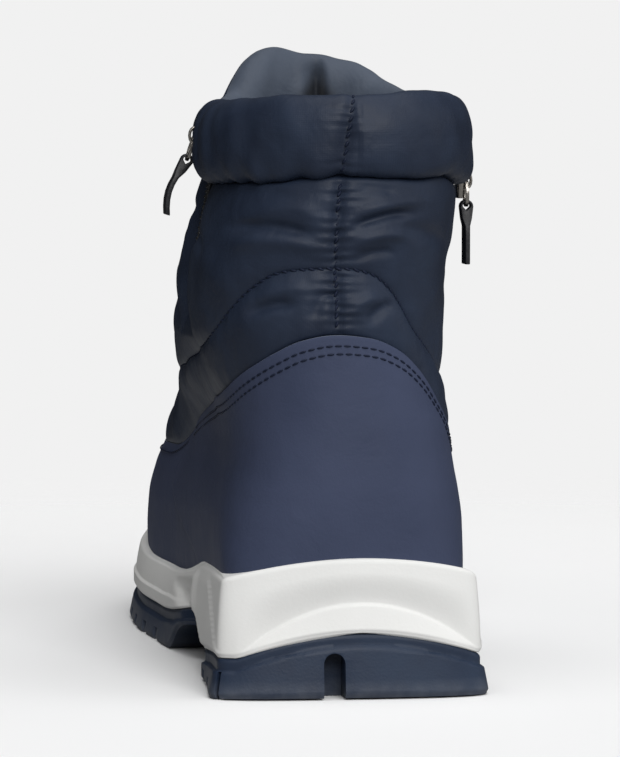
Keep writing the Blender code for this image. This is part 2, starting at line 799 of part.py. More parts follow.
def collar_loop(share, front):
    """Cross-section of a collar roll: a pillow that stands out over the shaft's top edge."""
    base = read(SEAMS, "collar", abs(share)) + 2 * GAP
    top = collar_top(share, front)
    level = (base + top) / 2
    middle = upper_base(share, level)
    out = upper_normal(share, level)
    out.z = 0.0
    out.normalize()
    power = 2 / COLLAR_FLATNESS
    points = []
    for k in range(COLLAR_STEPS):
        turn = 2 * math.pi * k / COLLAR_STEPS
        c, s = math.cos(turn), math.sin(turn)
        reach = (COLLAR_OUT + COLLAR_IN) / 2 * math.copysign(abs(c) ** power, c)
        lift = (top - base) / 2 * math.copysign(abs(s) ** power, s)
        point = middle + out * ((COLLAR_OUT - COLLAR_IN) / 2 + reach)
        points.append(Vector((point.x, point.y, level + lift)))
    return points


def make_collar(name, front):
    """One of the two padded collar rolls, from zip to zip round the back or the front."""
    level = (BACK_HEIGHT + SEAMS[0].collar) / 2
    step = COLLAR_ZIP_GAP if front else -COLLAR_ZIP_GAP
    ends = {row.side: share_at_along(row.along + step, row.side, level) for row in ZIPS}
    if front:
        start, stop = ends[1], 2 + ends[-1]
    else:
        start, stop = ends[-1], ends[1]
    inside = [c for c in (i / SEGMENTS for i in range(-SEGMENTS, 2 * SEGMENTS)) if start < c < stop]
    spacing = 0.3 / SEGMENTS
    shares = [start, *(c for c in inside if start + spacing < c < stop - spacing), stop]
    loops = [collar_loop(wrapped(share), front) for share in shares]
    mesh = bmesh.new()
    tube(mesh, loops)
    return add_object(name, mesh, "nylon")


def zip_surface(row, along, height, out):
    """A point over the flat side of the shaft, moved out from its base form."""
    share = share_at_along(along, row.side, height)
    return upper_base(share, height) + Vector((row.side * out, 0.0, 0.0))


def make_zip(row):
    """The closed zip: tape and teeth as one strip down the side of the shaft."""
    outer, inner = [], []
    for k in range(ZIP_STEPS + 1):
        height = ZIP_BOTTOM + (ZIP_TOP - ZIP_BOTTOM) * k / ZIP_STEPS
        low = [zip_surface(row, row.along + s * ZIP_HALF_WIDTH, height, 3 * GAP) for s in (-1, 0, 1)]
        inner.append(low)
        top = (ZIP_THICKNESS * 0.45, ZIP_THICKNESS, ZIP_THICKNESS * 0.45)
        outer.append([p + Vector((row.side * (t + GAP), 0.0, 0.0)) for p, t in zip(low, top)])
    mesh = bmesh.new()
    sheet_solid(mesh, outer, inner)
    return add_object(f"zip_{row.name}", mesh, "zip_tape")


def slider_face(row):
    """The point on the zip under a slider's middle, at the zip's outer face."""
    return zip_surface(row, row.along, row.slider, ZIP_THICKNESS + 7 * GAP)


def pull_axis(row):
    """The point about which a slider's pull swings: the middle of the space under its bridge."""
    rise = SLIDER_THICKNESS + (BRIDGE_HEIGHT - BRIDGE_BAR) / 2
    return slider_face(row) + Vector((row.side * rise, 0.0, 0.0))


def make_slider(row):
    """The metal slider body with the bridge that holds its pull."""
    face = slider_face(row)
    out = Vector((row.side, 0.0, 0.0))
    half = SLIDER_LENGTH / 2
    wide, narrow = SLIDER_WIDTH / 2, SLIDER_WIDTH / 2 * SLIDER_TAPER
    profile = (
        (-narrow, -half), (narrow, -half), (wide, half * 0.5),
        (narrow, half), (-narrow, half), (-wide, half * 0.5),
    )
    mesh = bmesh.new()
    edge = 0.12 * SLIDER_THICKNESS
    loops = []
    for rise, shrink in ((0.0, 0.9), (edge, 1.0), (SLIDER_THICKNESS - edge, 1.0), (SLIDER_THICKNESS, 0.86)):
        loops.append([face + out * rise + Vector((0.0, y * shrink, z * shrink)) for y, z in profile])
    tube(mesh, loops)
    body = add_object(f"slider_{row.name}", mesh, "gunmetal")

    bridge = bmesh.new()
    base = face + out * (SLIDER_THICKNESS - edge)
    steps = 8
    outer, inner = [], []
    for k in range(steps + 1):
        turn = math.pi * k / steps
        rise, run = math.sin(turn) ** 0.6, math.cos(turn)
        for side_points, trim in ((outer, 0.0), (inner, BRIDGE_BAR)):
            reach = out * ((BRIDGE_HEIGHT + edge - trim) * rise)
            reach += Vector((0.0, 0.0, (BRIDGE_LENGTH / 2 - trim) * run))
            width = Vector((0.0, BRIDGE_WIDTH / 2, 0.0))
            side_points.append([base + reach - width, base + reach + width])
    sheet_solid(bridge, outer, inner)
    arch = add_object(f"bridge_{row.name}", bridge, "gunmetal")
    arch.hide_render = True
    arch.display_type = "WIRE"
    join = body.modifiers.new("bridge", "BOOLEAN")
    join.operation = "UNION"
    join.object = arch
    return body


def hang(row, piece):
    """Hangs a piece of a pull on an empty that sits on the pull's axis."""
    axis = pull_axis(row)
    name = f"axis_{row.name}"
    empty = bpy.data.objects.get(name)
    if empty is None:
        empty = bpy.data.objects.new(name, None)
        empty.location = axis
        bpy.context.scene.collection.objects.link(empty)
    swing = Matrix.Rotation(-row.side * row.splay, 4, "Y")
    piece.data.transform(swing @ Matrix.Translation(-axis))
    piece.parent = empty
    return piece


def make_pull(row):
    """The wire pull: a small closed frame whose top bar runs under the slider's bridge."""
    axis = pull_axis(row)
    half = PULL_WIDTH / 2
    corners = ((-half, 0.0), (half, 0.0), (half, -PULL_LENGTH), (-half, -PULL_LENGTH))
    sides = 8
    loops = []
    for (y, z), (sy, sz) in zip(corners, ((-1, 1), (1, 1), (1, -1), (-1, -1))):
        loop = []
        for k in range(sides):
            turn = 2 * math.pi * k / sides
            spread = PULL_WIRE * math.cos(turn)
            loop.append(axis + Vector((PULL_WIRE * math.sin(turn), y + sy * spread, z + sz * spread)))
        loops.append(loop)
    mesh = bmesh.new()
    rings = [ring(mesh, loop) for loop in loops]
    for a, b in zip(rings, rings[1:] + rings[:1]):
        ring_faces(mesh, a, b)
    return hang(row, add_object(f"pull_{row.name}", mesh, "gunmetal"))


def make_tab(row):
    """The strap on the pull: a flat tab in a shallow bow, with a loop round the pull's lower bar."""
    axis = pull_axis(row)
    bar = PULL_WIRE + GAP
    eye = 0.0004
    out = Vector((row.side, 0.0, 0.0))
    top = axis.z - PULL_LENGTH
    half = min(TAB_WIDTH, PULL_WIDTH - 2 * PULL_WIRE - 4 * GAP) / 2
    loop_steps = 8
    inner_radius = bar + eye
    outer_radius = inner_radius + TAB_THICKNESS / 2
    outer, inner = [], []
    for k in range(loop_steps + 1):
        turn = math.pi * k / loop_steps
        for grid, radius in ((outer, outer_radius), (inner, inner_radius)):
            reach = out * (-math.cos(turn) * radius)
            lift = math.sin(turn) * radius
            centre = Vector((axis.x, axis.y, top + lift)) + reach
            grid.append([centre + Vector((0.0, s * half, 0.0)) for s in (-1, 1)])
    mesh = bmesh.new()
    left = [mesh.verts.new(p[0]) for p in outer]
    right = [mesh.verts.new(p[1]) for p in outer]
    in_left = [mesh.verts.new(p[0]) for p in inner]
    in_right = [mesh.verts.new(p[1]) for p in inner]
    drop = []
    for k in range(1, TAB_STEPS + 1):
        share = k / TAB_STEPS
        bow = TAB_BOW * math.sin(math.pi * 0.9 * share)
        close = outer_radius + (TAB_THICKNESS / 2 - outer_radius) * ease(share * 3)
        widen = half + (TAB_WIDTH / 2 - half) * ease(share * 2.5)
        middle = Vector((axis.x, axis.y, top - inner_radius - TAB_LENGTH * share)) + out * bow
        drop.append([
            mesh.verts.new(middle + out * s * close + Vector((0.0, w * widen, 0.0)))
            for s, w in ((-1, -1), (-1, 1), (1, 1), (1, -1))
        ])
    low_close = Vector((axis.x, axis.y, top - inner_radius))
    shut = [mesh.verts.new(low_close + Vector((0.0, w * half, 0.0))) for w in (-1, 1)]
    count = loop_steps
    for k in range(count):
        mesh.faces.new((left[k], right[k], right[k + 1], left[k + 1]))
        mesh.faces.new((in_left[k], in_left[k + 1], in_right[k + 1], in_right[k]))
        mesh.faces.new((left[k], left[k + 1], in_left[k + 1], in_left[k]))
        mesh.faces.new((right[k], in_right[k], in_right[k + 1], right[k + 1]))
    first = drop[0]
    mesh.faces.new((left[0], first[0], first[1], right[0]))
    mesh.faces.new((left[-1], right[-1], first[2], first[3]))
    mesh.faces.new((in_left[0], in_right[0], shut[1], shut[0]))
    mesh.faces.new((in_left[-1], shut[0], shut[1], in_right[-1]))
    mesh.faces.new((left[0], in_left[0], shut[0], first[0]))
    mesh.faces.new((left[-1], first[3], shut[0], in_left[-1]))
    mesh.faces.new((first[0], shut[0], first[3]))
    mesh.faces.new((right[0], first[1], shut[1], in_right[0]))
    mesh.faces.new((right[-1], in_right[-1], shut[1], first[2]))
    mesh.faces.new((first[1], first[2], shut[1]))
    for a, b in zip(drop, drop[1:]):
        ring_faces(mesh, a, b)
    mesh.faces.new(drop[-1])
    return hang(row, add_object(f"tab_{row.name}", mesh, "strap"))


def main():
    """Builds the boot in an empty scene."""
    for item in list(bpy.data.objects):
        bpy.data.objects.remove(item)
    root = bpy.data.objects.new("boot", None)
    bpy.context.scene.collection.objects.link(root)
    made = [
        make_outsole(),
        make_midsole(),
        make_insole(),
        make_upper(),
        make_counter(),
        make_guard(),
        make_collar("collar_back", False),
        make_collar("collar_front", True),
    ]
    for row in ZIPS:
        made += [make_zip(row), make_slider(row)]
        made.append(make_pull(row).parent)
        make_tab(row)
    for piece in made:
        piece.parent = root


main()
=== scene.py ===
"""Looks of a padded winter boot for the right foot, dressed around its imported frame.

Frame: +X to the outer side of the foot, +Y to the toe, +Z up, metres, origin under the middle of the heel.
"Along" is the distance from the back of the heel. "Share" runs round the outline: 0 at the middle of the
heel, 1 at the toe, above zero on the outer side and below zero on the inner side. A "level" is the height
of a layer of the upper, which follows the seat of the sole below and is flat above.
"""

from __future__ import annotations

import logging
import math
from dataclasses import dataclass, field
from enum import Enum
from typing import Any, Callable, NamedTuple, Sequence

import bpy
import numpy as np
from mathutils import Matrix, Vector

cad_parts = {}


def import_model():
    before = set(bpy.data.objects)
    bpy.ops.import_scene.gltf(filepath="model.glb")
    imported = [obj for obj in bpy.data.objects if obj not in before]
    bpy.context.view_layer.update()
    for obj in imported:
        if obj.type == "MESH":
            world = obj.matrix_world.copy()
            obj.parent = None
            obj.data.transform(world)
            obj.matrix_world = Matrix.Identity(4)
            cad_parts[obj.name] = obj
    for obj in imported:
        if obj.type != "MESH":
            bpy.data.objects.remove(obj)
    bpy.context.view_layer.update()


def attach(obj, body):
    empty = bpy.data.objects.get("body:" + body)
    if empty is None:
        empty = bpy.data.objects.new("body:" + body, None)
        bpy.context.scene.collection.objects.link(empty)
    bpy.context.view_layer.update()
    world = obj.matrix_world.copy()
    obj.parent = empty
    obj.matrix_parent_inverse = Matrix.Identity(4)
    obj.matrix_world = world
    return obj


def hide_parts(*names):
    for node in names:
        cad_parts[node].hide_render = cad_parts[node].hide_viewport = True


LOG = logging.getLogger("boot")
BODY = "boot"
MM = 0.001
SHAFT_MIDDLE = 0.030
SHAFT_RADIUS = 0.045
FOLD_GAIN = 2.1

Array = np.ndarray
Shape = Callable[[Array, Array], Array]


class SoleRow(NamedTuple):
    """One station of the sole: half widths as shares of the ball width, and heights of its layers."""

    along: float
    lateral: float
    medial: float
    seat: float
    joint: float
    rim: float
    ground: float


class UpperRow(NamedTuple):
    """One level of the upper: its back and front, the lengths of the rounded ends, and its width."""

    level: float
    back: float
    front: float
    back_round: float
    front_round: float
    inset: float
    shaft: float
    lean: float


class SeamRow(NamedTuple):
    """Heights, round the outline, of the panels' top edge and of the sewn lines on the upper."""

    share: float
    panel_lateral: float
    panel_medial: float
    quilt_lateral: float
    quilt_medial: float
    collar: float


SOLE = (
    SoleRow(0.000, 0.360, 0.418, 0.0270, 0.0120, 0.0355, 0.0006),
    SoleRow(0.012, 0.362, 0.416, 0.0270, 0.0119, 0.0358, 0.0000),
    SoleRow(0.024, 0.366, 0.413, 0.0270, 0.0114, 0.0355, 0.0000),
    SoleRow(0.040, 0.373, 0.410, 0.0270, 0.0101, 0.0349, 0.0000),
    SoleRow(0.056, 0.381, 0.408, 0.0267, 0.0090, 0.0342, 0.0000),
    SoleRow(0.068, 0.387, 0.408, 0.0263, 0.0118, 0.0336, 0.0060),
    SoleRow(0.080, 0.393, 0.409, 0.0256, 0.0150, 0.0330, 0.0098),
    SoleRow(0.096, 0.401, 0.414, 0.0238, 0.0166, 0.0304, 0.0112),
    SoleRow(0.112, 0.408, 0.422, 0.0218, 0.0144, 0.0276, 0.0080),
    SoleRow(0.128, 0.430, 0.430, 0.0200, 0.0124, 0.0256, 0.0000),
    SoleRow(0.146, 0.455, 0.440, 0.0182, 0.0114, 0.0246, 0.0000),
    SoleRow(0.186, 0.515, 0.472, 0.0170, 0.0116, 0.0246, 0.0000),
    SoleRow(0.222, 0.490, 0.462, 0.0180, 0.0118, 0.0262, 0.0004),
    SoleRow(0.254, 0.440, 0.435, 0.0215, 0.0145, 0.0310, 0.0042),
    SoleRow(0.282, 0.400, 0.400, 0.0270, 0.0195, 0.0370, 0.0105),
)

UPPER = (
    UpperRow(0.0220, 0.0062, 0.2755, 0.0190, 0.0760, 0.0062, 0.00, 0.0000),
    UpperRow(0.0340, 0.0060, 0.2765, 0.0225, 0.0760, 0.0055, 0.00, -0.0001),
    UpperRow(0.0460, 0.0057, 0.2735, 0.0340, 0.0780, 0.0053, 0.00, 0.0002),
    UpperRow(0.0560, 0.0056, 0.2640, 0.0430, 0.0840, 0.0062, 0.00, 0.0005),
    UpperRow(0.0630, 0.0058, 0.2520, 0.0475, 0.0880, 0.0074, 0.04, 0.0006),
    UpperRow(0.0700, 0.0062, 0.2370, 0.0500, 0.0900, 0.0085, 0.15, 0.0003),
    UpperRow(0.0780, 0.0068, 0.2180, 0.0510, 0.0900, 0.0098, 0.38, -0.0005),
    UpperRow(0.0870, 0.0076, 0.1980, 0.0510, 0.0860, 0.0128, 0.66, -0.0025),
    UpperRow(0.0970, 0.0084, 0.1780, 0.0505, 0.0800, 0.0145, 0.88, -0.0049),
    UpperRow(0.1080, 0.0090, 0.1600, 0.0500, 0.0700, 0.0115, 1.00, -0.0068),
    UpperRow(0.1220, 0.0092, 0.1455, 0.0500, 0.0600, 0.0115, 1.00, -0.0062),
    UpperRow(0.1380, 0.0092, 0.1370, 0.0500, 0.0540, 0.0115, 1.00, -0.0033),
    UpperRow(0.1560, 0.0090, 0.1330, 0.0500, 0.0510, 0.0115, 1.00, -0.0003),
    UpperRow(0.1950, 0.0086, 0.1320, 0.0500, 0.0505, 0.0115, 1.00, 0.0009),
)

SEAMS = (
    SeamRow(0.000, 0.1070, 0.1070, 0.1266, 0.1266, 0.1530),
    SeamRow(0.042, 0.1059, 0.1054, 0.1250, 0.1264, 0.1530),
    SeamRow(0.083, 0.1023, 0.1020, 0.1190, 0.1252, 0.1530),
    SeamRow(0.125, 0.0955, 0.0982, 0.1090, 0.1208, 0.1529),
    SeamRow(0.167, 0.0868, 0.0945, 0.1018, 0.1142, 0.1528),
    SeamRow(0.208, 0.0795, 0.0910, 0.0958, 0.1075, 0.1526),
    SeamRow(0.250, 0.0752, 0.0882, 0.0924, 0.1034, 0.1524),
    SeamRow(0.292, 0.0732, 0.0862, 0.0908, 0.1011, 0.1520),
    SeamRow(0.340, 0.0718, 0.0846, 0.0900, 0.1000, 0.1520),
    SeamRow(0.375, 0.0708, 0.0836, 0.0896, 0.0994, 0.1520),
    SeamRow(0.417, 0.0697, 0.0825, 0.0893, 0.0988, 0.1520),
    SeamRow(0.458, 0.0686, 0.0809, 0.0892, 0.0983, 0.1522),
    SeamRow(0.500, 0.0675, 0.0789, 0.0893, 0.0978, 0.1525),
    SeamRow(0.542, 0.0664, 0.0762, 0.0897, 0.0972, 0.1530),
    SeamRow(0.584, 0.0652, 0.0712, 0.0904, 0.0966, 0.1535),
    SeamRow(0.667, 0.0630, 0.0630, 0.0915, 0.0942, 0.1550),
    SeamRow(0.800, 0.0612, 0.0612, 0.0925, 0.0868, 0.1575),
    SeamRow(1.000, 0.0640, 0.0640, 0.0990, 0.0990, 0.1590),
)


class WaveRow(NamedTuple):
    """How far the collar's seam stands off its mean height at a place round the outline."""

    share: float
    rise: float


COLLAR_WAVE = (
    WaveRow(-0.400, 0.0000),
    WaveRow(-0.280, -0.0012),
    WaveRow(-0.130, -0.0014),
    WaveRow(-0.030, 0.0007),
    WaveRow(0.040, 0.0002),
    WaveRow(0.090, -0.0003),
    WaveRow(0.140, 0.0006),
    WaveRow(0.240, -0.0014),
    WaveRow(0.400, 0.0000),
)


class FrontRow(NamedTuple):
    """Height of the front collar roll's top at a place round the outline, on the outer and the inner side."""

    share: float
    lateral: float
    medial: float


FRONT_COLLAR = (
    FrontRow(0.300, 0.1755, 0.1745),
    FrontRow(0.680, 0.1765, 0.1748),
    FrontRow(0.790, 0.1790, 0.1762),
    FrontRow(0.835, 0.1815, 0.1785),
    FrontRow(0.865, 0.1838, 0.1855),
    FrontRow(0.885, 0.1860, 0.1892),
    FrontRow(0.915, 0.1886, 0.1918),
    FrontRow(0.950, 0.1896, 0.1929),
    FrontRow(1.000, 0.1912, 0.1912),
)


def ease(share: Array | float) -> Array:
    """Smooth step from 0 to 1.

    Args:
        share: Places on the step; below 0 and above 1 it is level.

    Returns:
        The eased values.
    """
    held = np.clip(share, 0.0, 1.0)
    return held * held * (3 - 2 * held)


def wrapped(share: Array) -> Array:
    """Brings places round the outline back to the range from -1 to 1."""
    return (share + 1) % 2 - 1


def girth(points: Array) -> Array:
    """Distance round the shaft to each point, measured on a circle about the shaft's middle."""
    return np.arctan2(points[:, 0], points[:, 1] - SHAFT_MIDDLE) * SHAFT_RADIUS


class Curve:
    """A smooth curve through the rows of a table, level at both ends."""

    def __init__(self, rows: Sequence[tuple], column: str) -> None:
        """Fits the curve.

        Args:
            rows: Table rows, with the place in the first column.
            column: Name of the column that the curve gives.
        """
        self.keys = np.array([row[0] for row in rows])
        self.values = np.array([getattr(row, column) for row in rows])
        steep = np.diff(self.values) / np.diff(self.keys)
        before, after = steep[:-1], steep[1:]
        same = before * after > 0
        mean = 2 * before * after / np.where(same, before + after, 1.0)
        self.slopes = np.concatenate([[0.0], np.where(same, mean, 0.0), [0.0]])

    def __call__(self, at: Array) -> Array:
        """Value of the column at each place."""
        at = np.clip(at, self.keys[0], self.keys[-1])
        i = np.clip(np.searchsorted(self.keys, at, side="right") - 1, 0, len(self.keys) - 2)
        width = self.keys[i + 1] - self.keys[i]
        s = (at - self.keys[i]) / width
        near = (1 + 2 * s) * (1 - s) ** 2 * self.values[i] + s * (1 - s) ** 2 * width * self.slopes[i]
        far = s * s * (3 - 2 * s) * self.values[i + 1] + s * s * (s - 1) * width * self.slopes[i + 1]
        return near + far


class Ripple:
    """A repeatable smooth random line: the sum of a few waves of unequal length."""

    def __init__(self, seed: int, length: float, waves: int = 7) -> None:
        """Draws the waves.

        Args:
            seed: Number that fixes the draw.
            length: Typical wave length, in metres.
            waves: Number of waves that are added up.
        """
        draw = np.random.default_rng(seed)
        self.rate = 2 * math.pi / (length * draw.uniform(0.6, 1.8, waves))
        self.phase = draw.uniform(0, 2 * math.pi, waves)
        self.high = draw.uniform(0.5, 1.0, waves)

    def __call__(self, at: Array) -> Array:
        """Height of the line at each place, about between -1 and 1."""
        waves = np.sin(np.asarray(at)[..., None] * self.rate + self.phase) * self.high
        return waves.sum(axis=-1) / self.high.sum() * 1.8


@dataclass
class BootForm:
    """The measured form of the boot: the last, the sole's outline and the sewn lines."""

    ball_width: float = 0.102
    length: float = 0.282
    shaft_width: float = 0.0704
    heel_centre: float = 0.040
    heel_round: float = 0.009
    toe_round: float = 0.078
    heel_roundness: float = 3.0
    toe_roundness: float = 2.45
    shaft_roundness: float = 2.3
    rear_share: float = 7 / 24
    front_share: float = 8 / 24
    seat_level: float = 0.022
    flat_level: float = 0.100
    arch_half_width: float = 0.037
    arch_depth: float = 0.036
    joint_arch: float = 0.0074
    rim_arch: float = 0.0062
    crease_arch: float = 0.0152
    waist_start: float = 0.087
    waist_end: float = 0.136
    waist_inset: float = 0.0062
    waist_slant: float = 0.037
    waist_slant_foot: float = 0.0075
    waist_slant_height: float = 0.0175
    heel_crease: float = 0.0008
    forefoot_crease: float = 0.0048
    sole: dict[str, Curve] = field(default_factory=dict)
    upper: dict[str, Curve] = field(default_factory=dict)
    seams: dict[str, Curve] = field(default_factory=dict)

    def __post_init__(self) -> None:
        """Fits a curve to each column of the tables."""
        for store, rows, kind in (
            (self.sole, SOLE, SoleRow), (self.upper, UPPER, UpperRow), (self.seams, SEAMS, SeamRow)
        ):
            for column in kind._fields[1:]:
                store[column] = Curve(rows, column)
        self.collar_wave = Curve(COLLAR_WAVE, "rise")

    def outline(self, share: Array, back: Array, front: Array, back_round: Array, front_round: Array,
                shaft: Array | float = 0.0) -> tuple[Array, Array]:
        """Plan of the boot: a rounded heel, a long side and a rounded toe.

        Args:
            share: Places from heel to toe, from 0 to 1.
            back: Distance of the back end.
            front: Distance of the front end.
            back_round: Length of the rounded heel.
            front_round: Length of the rounded toe.
            shaft: How far the plan is the shaft's and not the foot's.

        Returns:
            The distance along the boot, and the share of the half width there.
        """
        heel_power = 2 / (self.heel_roundness + (self.shaft_roundness - self.heel_roundness) * shaft)
        toe_power = 2 / (self.toe_roundness + (self.shaft_roundness - self.toe_roundness) * shaft)
        heel_turn = np.clip(share / self.rear_share, 0, 1) * math.pi / 2
        toe_turn = np.clip((1 - share) / self.front_share, 0, 1) * math.pi / 2
        heel_along = back + back_round * (1 - np.cos(heel_turn).clip(0) ** heel_power)
        toe_along = front - front_round * (1 - np.cos(toe_turn).clip(0) ** toe_power)
        on_side = (share - self.rear_share) / (1 - self.rear_share - self.front_share)
        start = back + back_round
        side_along = start + (front - front_round - start) * on_side
        at_heel, at_toe = share < self.rear_share, share > 1 - self.front_share
        along = np.where(at_heel, heel_along, np.where(at_toe, toe_along, side_along))
        full = np.where(at_heel, np.sin(heel_turn) ** heel_power, np.sin(toe_turn) ** toe_power)
        return along, np.where(at_heel | at_toe, full, 1.0)

    def sole_half(self, along: Array, side: Array) -> Array:
        """Half width of the sole at its widest line."""
        return self.ball_width * np.where(side > 0, self.sole["lateral"](along), self.sole["medial"](along))

    def level_height(self, level: Array, along: Array) -> Array:
        """Height of a level of the upper: low levels follow the seat, high ones are flat."""
        follow = 1 - ease((level - self.seat_level) / (self.flat_level - self.seat_level))
        return level + (self.sole["seat"](along) - self.seat_level) * follow

    def base(self, share: Array, level: Array) -> Array:
        """Points of the upper's base form, before its padding.

        Args:
            share: Places round the outline.
            level: Their levels.

        Returns:
            The points.
        """
        share = wrapped(share)
        side = np.where(share >= 0, 1.0, -1.0)
        ends = [self.upper[name](level) for name in ("back", "front", "back_round", "front_round", "shaft")]
        along, full = self.outline(np.abs(share), *ends)
        foot = self.sole_half(along, side) - self.upper["inset"](level)
        half = foot * (1 - ends[4]) + self.shaft_width / 2 * ends[4]
        x = self.upper["lean"](level) + side * full * half
        return np.stack([x, along - self.heel_centre, self.level_height(level, along)], axis=-1)

    def normal(self, share: Array, level: Array) -> Array:
        """Outward directions of the upper's base form.

        Args:
            share: Places round the outline.
            level: Their levels.

        Returns:
            The directions, each one long.
        """
        d_share, d_level = 0.004, 0.0008
        run = self.base(share + d_share, level) - self.base(share - d_share, level)
        rise = self.base(share, level + d_level) - self.base(share, level - d_level)
        out = np.cross(run, rise)
        return out / np.linalg.norm(out, axis=-1, keepdims=True)

    def level_at(self, share: Array, height: Array) -> Array:
        """Levels at which places round the outline reach wanted heights.

        Args:
            share: Places round the outline.
            height: The heights.

        Returns:
            The levels.
        """
        low = np.full(np.shape(share), self.seat_level)
        high = np.full(np.shape(share), UPPER[-1].level)
        for _ in range(24):
            middle = (low + high) / 2
            below = self.base(share, middle)[..., 2] < height
            low, high = np.where(below, middle, low), np.where(below, high, middle)
        return (low + high) / 2

    def seam(self, name: str, share: Array) -> Array:
        """Height of a sewn line or an edge at places round the outline."""
        share = wrapped(share)
        both = (self.seams[f"{name}_lateral"](np.abs(share)), self.seams[f"{name}_medial"](np.abs(share)))
        return np.where(share >= 0, *both)

    def collar_seam(self, share: Array) -> Array:
        """Height of the collar's seam at places round the outline, with its gentle wave."""
        share = wrapped(share)
        return self.seams["collar"](np.abs(share)) + self.collar_wave(share)

    def back_arch(self, x: Array, along: Array) -> Array:
        """How far the layers of the sole arch up at the back of the heel, from 0 to 1."""
        across = np.maximum(0.0, 1 - (x / self.arch_half_width) ** 2)
        return across * (1 - ease(along / self.arch_depth))

    def joint(self, x: Array, along: Array) -> Array:
        """Height of the face where midsole and outsole meet."""
        return self.sole["joint"](along) + self.joint_arch * self.back_arch(x, along)

    def rim(self, x: Array, along: Array) -> Array:
        """Height of the midsole's top edge."""
        return self.sole["rim"](along) + self.rim_arch * self.back_arch(x, along)

    def crease(self, x: Array, along: Array) -> Array:
        """Height of the moulded crease on the midsole's side."""
        to_front = ease((along - self.waist_start) / (self.waist_end - self.waist_start))
        lift = self.heel_crease + (self.forefoot_crease - self.heel_crease) * to_front
        return self.sole["joint"](along) + lift + self.crease_arch * self.back_arch(x, along)

    def rim_at(self, share: Array) -> Array:
        """Height of the midsole's top edge beside places round the upper."""
        base = self.base(share, np.full(np.shape(share), UPPER[1].level))
        return self.rim(base[..., 0], base[..., 1] + self.heel_centre)

    def sole_edge(self, share: Array) -> Array:
        """Offset to the side, and distance along, of the sole's outline.

        Args:
            share: Places round the outline.

        Returns:
            Both, as pairs.
        """
        share = wrapped(share)
        side = np.where(share >= 0, 1.0, -1.0)
        along, full = self.outline(np.abs(share), 0.0, self.length, self.heel_round, self.toe_round)
        return np.stack([side * full * self.sole_half(along, side), along], axis=-1)

    def waist(self, along: Array) -> Array:
        """How far the sole is drawn in under the arch.

        Args:
            along: Distances from the back of the heel.

        Returns:
            Shares of the full inset, from 0 to 1.
        """
        middle = (self.waist_start + self.waist_end) / 2
        rising = ease((along - self.waist_start) / (0.35 * (middle - self.waist_start)))
        falling = ease((self.waist_end - along) / (self.waist_end - middle))
        return np.where(along < middle, rising, falling)

    def sole_point(self, share: Array, out: Array, z: Array, draw: Array | float = 1.0) -> Array:
        """Points on the sole's side.

        Args:
            share: Places round the outline.
            out: Distance out from the outline.
            z: Heights.
            draw: How much of the waist's inset the points take.

        Returns:
            The points.
        """
        step = 0.002
        edge = self.sole_edge(share)
        run = self.sole_edge(share + step) - self.sole_edge(share - step)
        run /= np.linalg.norm(run, axis=-1, keepdims=True)
        low = 1 - np.clip((z - self.waist_slant_foot) / self.waist_slant_height, 0, 1)
        out = out - draw * self.waist_inset * self.waist(edge[..., 1] + self.waist_slant * low)
        x = edge[..., 0] + run[..., 1] * out
        along = edge[..., 1] - run[..., 0] * out
        return np.stack([x, along - self.heel_centre, z], axis=-1)


def deselect() -> None:
    """Leaves edit mode and clears the selection."""
    if bpy.context.object and bpy.context.object.mode != "OBJECT":
        bpy.ops.object.mode_set(mode="OBJECT")
    bpy.ops.object.select_all(action="DESELECT")


def settle(piece: bpy.types.Object, material: bpy.types.Material, body: str = BODY) -> None:
    """Dresses a finished piece and hangs it on its body.

    Args:
        piece: The finished mesh object.
        material: Its finish.
        body: The body that it moves with.
    """
    if not piece.data.materials:
        piece.data.materials.append(material)
    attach(piece, body)
    LOG.info("%s: %d faces", piece.name, len(piece.data.polygons))


def make_active(piece: bpy.types.Object) -> None:
    """Selects one piece alone and makes it active."""
    deselect()
    piece.select_set(True)
    bpy.context.view_layer.objects.active = piece


def apply_modifiers(piece: bpy.types.Object) -> None:
    """Applies every modifier of a piece, in order."""
    make_active(piece)
    for modifier in list(piece.modifiers):
        bpy.ops.object.modifier_apply(modifier=modifier.name)


def soften(piece: bpy.types.Object, width: float, segments: int, sharpest: float) -> None:
    """Rounds the sharp edges of a piece, after any modifier that it already has.

    Args:
        piece: The mesh object.
        width: Width of the rounding, in metres.
        segments: Steps in the rounding.
        sharpest: Edges that turn by more than this many degrees are rounded.
    """
    soft = piece.modifiers.new("soft edge", "BEVEL")
    soft.width = width
    soft.segments = segments
    soft.limit_method = "ANGLE"
    soft.angle_limit = math.radians(sharpest)
    apply_modifiers(piece)


def merge_and_turn(piece: bpy.types.Object, distance: float = 1e-6) -> None:
    """Merges doubled corners and turns every face outwards.

    Args:
        piece: The mesh object.
        distance: Corners closer than this become one.
    """
    make_active(piece)
    bpy.ops.object.mode_set(mode="EDIT")
    bpy.ops.mesh.select_all(action="SELECT")
    bpy.ops.mesh.remove_doubles(threshold=distance)
    bpy.ops.mesh.normals_make_consistent(inside=False)
    bpy.ops.object.mode_set(mode="OBJECT")


